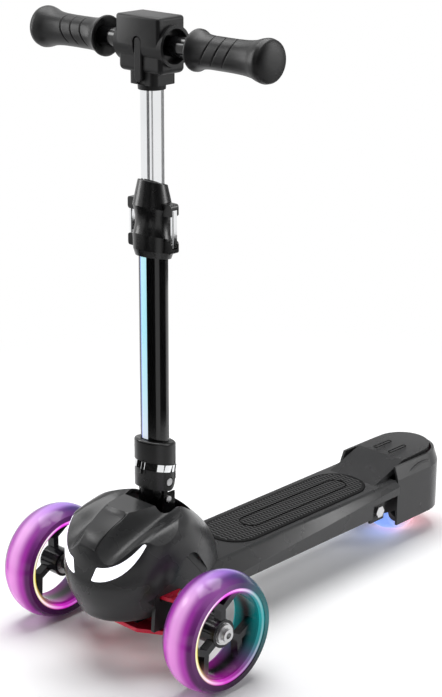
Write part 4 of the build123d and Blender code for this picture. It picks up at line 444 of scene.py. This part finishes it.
tread_margin = 0.003
rib_sink, edge_sink = 0.0004, 0.001
pad_corner = 0.030
bead_radius = 0.0006
pill_half, pill_front, pill_rear, pill_corner = 0.0122, -0.0398, 0.1203, 0.0119
pad_tread = grown("pad_tread", tread, {
    tread_inputs["Width"]: pad_size.x - tread_margin,
    tread_inputs["Length"]: pad_size.y - tread_margin,
    tread_inputs["Corner"]: 0.0285,
    tread_inputs["Pitch"]: 0.0042,
    tread_inputs["Wave Height"]: 0.0006,
    tread_inputs["Wave Length"]: 0.008,
    tread_inputs["Rib Radius"]: 0.0008,
}, (pad_middle.x, pad_middle.y, pad_high.z - rib_sink))
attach(pad_tread, "chassis")
# The seam round the pad's edge is a near-black bead, painted shade standing in for the shadow in the gap, and the
# bead round its middle is drawn in the same near-black.
pad_edge = rounded_outline(pad_low, pad_high, pad_corner, pad_high.z - edge_sink)
bead("pad_edge", pad_edge, bead_radius, groove_shade_black, "chassis")
pad_pill = rounded_outline((-pill_half, pill_front), (pill_half, pill_rear), pill_corner, pad_high.z + rib_sink)
bead("pad_pill", pad_pill, bead_radius, groove_shade_black, "chassis")

# Front truck: two red powder-coated plates bolted to a black casting, with zinc-plated
# bolts and pins. The steering post's wings rest on two rubber buffers, which are squeezed
# as the stem leans and push it upright again.
red_coat = grained("red_coat", (0.72, 0.016, 0.05), (0.84, 0.024, 0.07), 0.2, 0.34, 0.0001, 500.0, 20.0)[0]
dress(red_coat, "truck_lower_plate", "truck_upper_plate")
casting = grained("black_casting", (0.012, 0.012, 0.012), (0.022, 0.022, 0.023), 0.4, 0.6, 0.0003, 500.0, 30.0)[0]
dress(casting, "front_frame", "knuckle_left", "knuckle_right", "tie_rod", "rear_fork")
zinc, tree, shader = grained("zinc_plate", (0.5, 0.5, 0.5), (0.66, 0.66, 0.67), 0.24, 0.42, 0.00005, 900.0, 60.0)
shader.inputs["Metallic"].default_value = 1.0
dress(zinc, "kingpins", "frame_hardware", "rear_axle", "axle_hardware", "brake_pivot_bolt", "fold_pin",
      "bracket_rivet", "latch_pin", "lever_pin", "axle_bolt_left", "axle_bolt_right", "wheel_bearings_left",
      "wheel_bearings_right", "rear_bearings")
buffer_rubber = grained("buffer_rubber", (0.02, 0.02, 0.02), (0.03, 0.03, 0.03), 0.6, 0.8)[0]
dress(buffer_rubber, "lean_buffers", "brake_pad")


def copy_of(name):
    """A loose copy of a CAD node's mesh in its place."""
    shape = bmesh.new()
    shape.from_mesh(nodes[name].data)
    shape.transform(nodes[name].matrix_world)
    return shape


for name, side in (("lean_buffer_left", 1), ("lean_buffer_right", -1)):
    shape = copy_of("lean_buffers")
    bmesh.ops.delete(shape, geom=[vert for vert in shape.verts if vert.co.x * side < 0], context="VERTS")
    buffer = placed(shape, name, buffer_rubber, "chassis")
    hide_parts("lean_buffers")
    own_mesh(buffer)

# Lamps: two swept covers of clear moulded plastic, finely fluted inside. Each clips into
# the nose over a white reflector tray that holds its diodes.


def tinted(tree, amount, first, second):
    """A colour that passes from the first to the second with an amount."""
    mix = tree.nodes.new("ShaderNodeMix")
    mix.data_type = "RGBA"
    tree.links.new(amount, mix.inputs["Factor"])
    for socket, colour in (("A", first), ("B", second)):
        if isinstance(colour, tuple):
            mix.inputs[socket].default_value = (*colour, 1)
        else:
            tree.links.new(colour, mix.inputs[socket])
    return mix.outputs["Result"]


lamp_cover, tree, shader = grained("lamp_cover", (0.85, 0.85, 0.9), (0.95, 0.95, 0.98), 0.06, 0.14,
                                   0.00005, 300.0, 30.0)
place = tree.nodes.new("ShaderNodeTexCoord")
flutes = tree.nodes.new("ShaderNodeTexWave")
flutes.inputs["Scale"].default_value = 90.0
flutes.inputs["Distortion"].default_value = 0.4
tree.links.new(place.outputs["Object"], flutes.inputs["Vector"])
lamp_light = tinted(tree, flutes.outputs["Fac"], (0.78, 0.78, 0.9), (1, 1, 1))
tree.links.new(lamp_light, shader.inputs["Emission Color"])
shader.inputs["Emission Strength"].default_value = 1.1
dress(lamp_cover, "headlamp_left", "headlamp_right")
lamp_tray = grained("lamp_tray", (0.7, 0.7, 0.72), (0.82, 0.82, 0.84), 0.2, 0.3)[0]
dress(lamp_tray, "lamp_trays")

# Front wheels: cloudy cast tyres on gloss black cores. Diodes beside the core light the clear
# rings in colours that change round the wheel. The tyre's tints and faint glow are painted light
# copied from the rings, with painted highlights at its front and top, and a painted glow on the
# core's rim stands for the light that spills on to it.


def colour_line(tree, value, stops):
    """A colour ramp on a value, from pairs of position and colour."""
    ramp = tree.nodes.new("ShaderNodeValToRGB")
    while len(ramp.color_ramp.elements) < len(stops):
        ramp.color_ramp.elements.new(0.5)
    for element, (position, colour) in zip(ramp.color_ramp.elements, stops):
        element.position = position
        element.color = (*colour, 1)
    tree.links.new(value, ramp.inputs["Fac"])
    return ramp.outputs["Color"]


def wheel_places(tree, centre):
    """The turn round a wheel's axle, from 0 at its front past its foot to 1, and the parts of a place."""
    place = tree.nodes.new("ShaderNodeTexCoord")
    centred = tree.nodes.new("ShaderNodeMapping")
    centred.inputs["Location"].default_value = (0, -centre[1], -centre[2])
    parts = tree.nodes.new("ShaderNodeSeparateXYZ")
    tree.links.new(place.outputs["Object"], centred.inputs["Vector"])
    tree.links.new(centred.outputs["Vector"], parts.inputs["Vector"])
    angle = node_math(tree, "ARCTAN2", parts.outputs["Z"], parts.outputs["Y"])
    return risen(tree, angle, -math.pi, math.pi, "LINEAR"), parts


wheel_low, wheel_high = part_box("tyre_left")
wheel_centre = (wheel_low + wheel_high) / 2


def sideways(tree, parts):
    """How far a place lies from the middle plane of its front wheel."""
    offset = node_math(tree, "SUBTRACT", node_math(tree, "ABSOLUTE", parts.outputs["X"]), wheel_centre.x)
    return node_math(tree, "ABSOLUTE", offset)


def wheel_reach(tree, parts, begin, full):
    """Rises from 0 at one radius round the axle to 1 at another."""
    squares = [node_math(tree, "MULTIPLY", parts.outputs[axis], parts.outputs[axis]) for axis in "YZ"]
    return risen(tree, node_math(tree, "SQRT", node_math(tree, "ADD", *squares)), begin, full)


cast_tyre, tree, shader = grained("cast_tyre", (0.34, 0.12, 0.42), (0.52, 0.24, 0.6), 0.12, 0.22,
                                  0.0001, 300.0, 9.0, 0.25)
turn, parts = wheel_places(tree, wheel_centre)
# Painted light: round the wheel the tyre's tints copy the rings' colours and feed its glow, lighter at the front and
# top as painted highlights and darker towards the foot and back.
tread_tint_and_light = colour_line(tree, turn, (
    (0.0, (0.84, 0.3, 0.78)), (0.12, (0.6, 0.14, 0.57)), (0.23, (0.24, 0.02, 0.24)), (0.33, (0.05, 0.03, 0.08)),
    (0.5, (0.03, 0.05, 0.06)), (0.62, (0.07, 0.05, 0.12)), (0.7, (0.2, 0.1, 0.46)), (0.77, (0.4, 0.2, 0.6)),
    (0.86, (0.74, 0.38, 0.74)), (1.0, (0.84, 0.3, 0.78))))
shoulder_tint_and_light = colour_line(tree, turn, (
    (0.0, (0.52, 0.04, 0.5)), (0.12, (0.3, 0.02, 0.3)), (0.22, (0.06, 0.005, 0.08)), (0.36, (0.01, 0.01, 0.02)),
    (0.5, (0.02, 0.12, 0.13)), (0.6, (0.02, 0.07, 0.09)), (0.72, (0.06, 0.03, 0.14)), (0.84, (0.24, 0.04, 0.28)),
    (1.0, (0.52, 0.04, 0.5))))
side_tint_and_light = colour_line(tree, turn, (
    (0.0, (0.1, 0.008, 0.11)), (0.12, (0.06, 0.004, 0.07)), (0.25, (0.02, 0.0, 0.025)),
    (0.36, (0.01, 0.006, 0.014)), (0.5, (0.01, 0.14, 0.15)), (0.6, (0.01, 0.1, 0.11)), (0.7, (0.05, 0.02, 0.1)),
    (0.8, (0.22, 0.05, 0.26)), (1.0, (0.1, 0.008, 0.11))))
across = sideways(tree, parts)
tread_half, shoulder_half, side_half = 0.002, 0.0115, 0.0165
tyre_tint_and_light = tinted(tree, risen(tree, across, tread_half, shoulder_half), tread_tint_and_light, shoulder_tint_and_light)
tyre_tint_and_light = tinted(tree, risen(tree, across, shoulder_half, side_half), tyre_tint_and_light, side_tint_and_light)
tree.links.new(tyre_tint_and_light, shader.inputs["Base Color"])
tree.links.new(tyre_tint_and_light, shader.inputs["Emission Color"])
shader.inputs["Emission Strength"].default_value = 0.2
shader.inputs["Coat Weight"].default_value = 0.12
dress(cast_tyre, "tyre_left", "tyre_right")

spill_colours = (
    (0.0, (0.7, 0.55, 0.02)), (0.1, (0.5, 0.3, 0.12)), (0.2, (0.6, 0.0, 0.5)), (0.3, (0.25, 0.02, 0.25)),
    (0.42, (0.02, 0.2, 0.22)), (0.52, (0.0, 0.3, 0.31)), (0.62, (0.02, 0.22, 0.25)), (0.72, (0.5, 0.0, 0.5)),
    (0.8, (0.7, 0.0, 0.66)), (0.9, (0.4, 0.25, 0.3)), (1.0, (0.7, 0.55, 0.02)))
ring_reaches = [(vert.co.yz - wheel_centre.yz).length for vert in nodes["light_ring_left"].data.vertices]
ring_in, ring_out = min(ring_reaches), max(ring_reaches)
ring_width = ring_out - ring_in
ring_glow, tree, shader = grained("ring_glow", (0.05, 0.045, 0.055), (0.08, 0.07, 0.09), 0.15, 0.25)
turn, parts = wheel_places(tree, wheel_centre)
ring_line = colour_line(tree, turn, (
    (0.0, (1.0, 0.93, 0.42)), (0.06, (1.0, 0.95, 0.7)), (0.14, (1.0, 0.72, 0.92)), (0.23, (0.75, 0.02, 0.66)),
    (0.33, (0.4, 0.25, 0.5)), (0.42, (0.25, 0.42, 0.46)), (0.52, (0.04, 0.36, 0.38)), (0.62, (0.3, 0.5, 0.52)),
    (0.7, (0.95, 0.6, 1.0)), (0.77, (1.0, 0.05, 0.95)), (0.85, (1.0, 0.88, 0.98)), (0.94, (1.0, 0.96, 0.8)),
    (1.0, (1.0, 0.93, 0.42))))
ring_edge = colour_line(tree, turn, spill_colours)
line_begin, line_full = ring_in + 0.1 * ring_width, ring_in + 0.4 * ring_width
line_fade = ring_in + 0.6 * ring_width
inner_part = tinted(tree, wheel_reach(tree, parts, line_begin, line_full), ring_edge, ring_line)
ring_light = tinted(tree, wheel_reach(tree, parts, line_fade, ring_out), inner_part, ring_edge)
tree.links.new(ring_light, shader.inputs["Emission Color"])
shader.inputs["Emission Strength"].default_value = 1.0
dress(ring_glow, "light_ring_left", "light_ring_right")

core_look = ((0.008, 0.008, 0.01), (0.014, 0.014, 0.017), 0.1, 0.2)
# Painted light: the core's rim near the ring glows in the rings' colours, a painted glow standing in for their light
# spilling on to it.
painted_spill_core, tree, shader = grained("painted_spill_core", *core_look)
turn, parts = wheel_places(tree, wheel_centre)
spill_inner, spill_outer = 0.001, 0.013
spill_begin, spill_full = 0.72 * ring_in, 1.04 * ring_in
near_ring = risen(tree, sideways(tree, parts), spill_inner, spill_outer)
near_rim = wheel_reach(tree, parts, spill_begin, spill_full)
painted_spill_share = node_math(tree, "MULTIPLY", near_rim, near_ring)
painted_spill = tinted(tree, painted_spill_share, (0, 0, 0), colour_line(tree, turn, spill_colours))
tree.links.new(painted_spill, shader.inputs["Emission Color"])
shader.inputs["Emission Strength"].default_value = 0.5
dress(painted_spill_core, "wheel_core_left", "wheel_core_right")

# Stem: gloss black enamelled steel tube with a light strip let into its front, hinged on
# the steering post between two riveted cheeks. Satin black collars hold the hinge and the
# clamp, and the chrome upper tube slides in a nylon sleeve and bush.
enamel = grained("black_enamel", (0.003, 0.003, 0.0033), (0.005, 0.005, 0.0053), 0.1, 0.18,
                 0.00005, 400.0, 12.0, 0.5)[0]
dress(enamel, "steering_post", "lower_tube", "hinge_bracket", "handlebar")
cheek_trim = 0.0085
shape = copy_of("hinge_bracket")
bracket_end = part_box("hinge_bracket")[1].y - cheek_trim
cut = bmesh.ops.bisect_plane(shape, geom=shape.verts[:] + shape.edges[:] + shape.faces[:],
                             plane_co=(0, bracket_end, 0), plane_no=(0, 1, 0), clear_outer=True)
bmesh.ops.holes_fill(shape, edges=[edge for edge in cut["geom_cut"] if isinstance(edge, bmesh.types.BMEdge)])
hinge_cheeks = placed(shape, "hinge_cheeks", enamel, "steering_post")
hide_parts("hinge_bracket")
satin_black = grained("satin_black", (0.003, 0.003, 0.0032), (0.006, 0.006, 0.0062), 0.22, 0.34, 0.00003,
                      shine=0.45)[0]
dress(satin_black, "fold_collar", "clamp_collar")
chrome, tree, shader = grained("chrome_plate", (0.78, 0.79, 0.8), (0.86, 0.87, 0.88), 0.03, 0.1,
                               0.00003, 300.0, 20.0)
shader.inputs["Metallic"].default_value = 1.0
dress(chrome, "upper_tube", "squeeze_bar_left", "squeeze_bar_right", "latch_band", "fold_latch")
trim_grey = grained("trim_grey", (0.2, 0.2, 0.21), (0.3, 0.3, 0.31), 0.1, 0.2)[0]
dress(trim_grey, "post_ring")
nylon = grained("natural_nylon", (0.7, 0.69, 0.66), (0.78, 0.77, 0.74), 0.4, 0.5)[0]
dress(nylon, "clamp_sleeve", "guide_bush")

strip_glow, tree, shader = grained("strip_glow", (0.2, 0.26, 0.3), (0.26, 0.32, 0.36), 0.1, 0.2)
strip_low, strip_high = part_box("light_strip")
place = tree.nodes.new("ShaderNodeTexCoord")
parts = tree.nodes.new("ShaderNodeSeparateXYZ")
tree.links.new(place.outputs["Object"], parts.inputs["Vector"])
climb = risen(tree, parts.outputs["Z"], strip_low.z, strip_high.z, "LINEAR")
width_share = risen(tree, parts.outputs["X"], strip_low.x, strip_high.x, "LINEAR")
along = colour_line(tree, climb, (
    (0.0, (0.75, 0.8, 0.9)), (0.25, (0.55, 0.85, 0.95)), (0.6, (0.38, 0.86, 0.98)), (1.0, (0.52, 0.93, 1.0))))
blue_edge = 0.2
side_share = risen(tree, width_share, blue_edge, 0.0, "LINEAR")
tree.links.new(tinted(tree, side_share, along, (0.1, 0.1, 0.95)), shader.inputs["Emission Color"])
shader.inputs["Emission Strength"].default_value = 0.75
dress(strip_glow, "light_strip")

# Handlebar head: a moulded black plastic block clamped on the upper tube. Its front wall
# stands level with the barrel that holds the bar, and is notched round the lever's upper
# end.
head_black = grained("head_black", (0.012, 0.012, 0.0124), (0.018, 0.018, 0.0184), 0.28, 0.42, shine=0.15)[0]
dress(head_black, "head_block", "release_lever")
block_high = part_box("head_block")[1]
bar_low, bar_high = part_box("handlebar")
bar_y = (bar_low.y + bar_high.y) / 2
bar_z = (bar_low.z + bar_high.z) / 2
face_half, face_front, face_back, face_round = 0.0275, bar_y - 0.019, bar_y - 0.0125, 0.0028
notch_middle, notch_radius, notch_steps = 0.6032, 0.0057, 12
face_outline = [(face_half, bar_z), (face_half, block_high.z), (-face_half, block_high.z), (-face_half, bar_z),
                (-notch_radius, bar_z)]
for step in range(notch_steps + 1):
    angle = math.pi * (1 - step / notch_steps)
    face_outline.append((notch_radius * math.cos(angle), notch_middle + notch_radius * math.sin(angle)))
face_outline.append((notch_radius, bar_z))
shape = bmesh.new()
wall = shape.faces.new([shape.verts.new((x, face_front, z)) for x, z in face_outline])
back = bmesh.ops.extrude_face_region(shape, geom=[wall])["geom"]
bmesh.ops.translate(shape, verts=[part for part in back if isinstance(part, bmesh.types.BMVert)],
                    vec=(0, face_back - face_front, 0))


def same(first, second):
    """True for two lengths that only differ by rounding."""
    return abs(first - second) < 1e-6


rim = [edge for edge in shape.edges
       if all(same(abs(vert.co.x), face_half) or same(vert.co.z, block_high.z) for vert in edge.verts)
       and not all(same(vert.co.y, face_back) for vert in edge.verts)]
bmesh.ops.bevel(shape, geom=rim, offset=face_round, segments=4, profile=0.5, affect="EDGES")
placed(shape, "head_face", head_black, "stem_upper")

# Grips: soft black rubber sleeves pushed over the bar, flared at both ends, with three
# thin finger grooves that curl round the front of each.
grip_rubber = grained("grip_rubber", (0.008, 0.008, 0.0083), (0.012, 0.012, 0.0123), 0.3, 0.42, shine=0.2)[0]
grip_lip = [(0.0640, 0.0096), (0.0595, 0.0166), (0.0582, 0.0180), (0.0581, 0.0187), (0.0588, 0.0192),
            (0.0605, 0.0191)]
grip_line = [(0.0605, 0.0191), (0.0655, 0.0168), (0.0720, 0.0155), (0.0900, 0.01502), (0.1080, 0.0151),
             (0.1200, 0.0156), (0.1300, 0.0170), (0.1380, 0.0193), (0.1425, 0.01995), (0.1455, 0.0192)]
grip_start, grip_end = grip_line[0][0], grip_line[-1][0]
cap_radius, cap_bulge, cap_fullness = grip_line[-1][1], 0.0045, 0.75
line_steps, cap_steps, around = 190, 14, 128
groove_places = (0.083, 0.0965, 0.110)
grooves_end = 0.127
groove_half_width, groove_depth = 0.0007, 0.0012
groove_bearing = math.radians(128)
groove_curl, groove_reach, groove_fade = 0.011, 0.05, 5


def eased(points, x):
    """The radius at x on a smooth line through the profile's points."""
    slopes = [(after[1] - before[1]) / (after[0] - before[0]) for before, after in zip(points, points[1:])]
    tangents = [slopes[0]] + [(before + after) / 2 for before, after in zip(slopes, slopes[1:])] + [slopes[-1]]
    number = next((n for n in range(len(points) - 1) if x <= points[n + 1][0]), len(points) - 2)
    (start, start_radius), (end, end_radius) = points[number:number + 2]
    span = end - start
    t = (x - start) / span
    return ((2 * t ** 3 - 3 * t ** 2 + 1) * start_radius + (t ** 3 - 2 * t ** 2 + t) * span * tangents[number]
            + (3 * t ** 2 - 2 * t ** 3) * end_radius + (t ** 3 - t ** 2) * span * tangents[number + 1])


def groove_cut(x, angle):
    """How deep the finger grooves are at a place on the grip."""
    bend = math.cos(angle - groove_bearing)
    if bend <= -groove_reach:
        return 0.0
    cut = 0.0
    for start in groove_places:
        near = abs(x - start + groove_curl * (1 - bend)) / groove_half_width
        if near < 1:
            cut += groove_depth * (1 - near * near) * min(1, (bend + groove_reach) * groove_fade)
    return cut


for side, name in ((1, "left"), (-1, "right")):
    rings = [(x, radius, False) for x, radius in grip_lip]
    for step in range(1, line_steps + 1):
        x = grip_start + (grip_end - grip_start) * step / line_steps
        rings.append((x, eased(grip_line, x), x < grooves_end))
    for step in range(1, cap_steps):
        angle = math.pi / 2 * step / cap_steps
        rings.append((grip_end + cap_bulge * math.sin(angle), cap_radius * math.cos(angle) ** cap_fullness, False))
    shape = bmesh.new()
    loops = []
    for x, radius, grooved in rings:
        loop = []
        for number in range(around):
            angle = 2 * math.pi * number / around
            depth = groove_cut(x, angle) if grooved else 0.0
            loop.append(shape.verts.new((side * x, bar_y + (radius - depth) * math.cos(angle),
                                         bar_z + (radius - depth) * math.sin(angle))))
        loops.append(loop)
    for first, second in zip(loops, loops[1:]):
        for number in range(around):
            after = (number + 1) % around
            shape.faces.new((first[number], first[after], second[after], second[number]))
    shape.faces.new(loops[-1])
    soft_grip = placed(shape, f"soft_grip_{name}", grip_rubber, "stem_upper", crease=None)
    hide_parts(f"grip_{name}")

# Rear wheel: a smaller clear cast wheel on a gloss black core under the fender, lit from
# its hub in blue, white and red.
gloss_core = grained("gloss_core", *core_look)[0]
dress(gloss_core, "rear_core")
rear_low, rear_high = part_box("rear_tyre")
rear_centre = (rear_low + rear_high) / 2
rear_cast, tree, shader = grained("rear_cast", (0.4, 0.4, 0.5), (0.55, 0.55, 0.62), 0.2, 0.35, 0.0001, 300.0, 9.0)
turn = wheel_places(tree, rear_centre)[0]
rear_glow = colour_line(tree, turn, (
    (0.0, (0.03, 0.16, 0.6)), (0.14, (0.08, 0.2, 0.6)), (0.27, (0.6, 0.35, 0.45)), (0.4, (0.9, 0.12, 0.14)),
    (0.55, (0.7, 0.05, 0.1)), (0.75, (0.35, 0.5, 0.8)), (1.0, (0.03, 0.16, 0.6))))
tree.links.new(rear_glow, shader.inputs["Emission Color"])
shader.inputs["Emission Strength"].default_value = 1.2
dress(rear_cast, "rear_tyre")

# Brake fender: one moulded shell round the tail on two arms, with a web that holds the
# brake pad over the wheel. The web's ends lie flush in the shell's round rear wall.
fender_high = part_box("brake_fender")[1]
fender_half = fender_high.x
bend_y = fender_high.y - fender_half
rim_drop, rim_inset = 0.0145, 0.0046
shoulder_z = fender_high.z - rim_drop
rim_slope = rim_inset / rim_drop
wall_slack = 0.00002
shape = copy_of("brake_fender")
for vert in shape.verts:
    reach = math.hypot(vert.co.x, vert.co.y - bend_y)
    allowed = fender_half - max(0.0, vert.co.z - shoulder_z) * rim_slope
    if vert.co.y > bend_y and reach > allowed + wall_slack:
        flush_x = math.sqrt(max(0.0, allowed ** 2 - (vert.co.y - bend_y) ** 2))
        vert.co.x = math.copysign(flush_x, vert.co.x)
fender_shell = placed(shape, "fender_shell", body_plastic, "brake")
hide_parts("brake_fender")
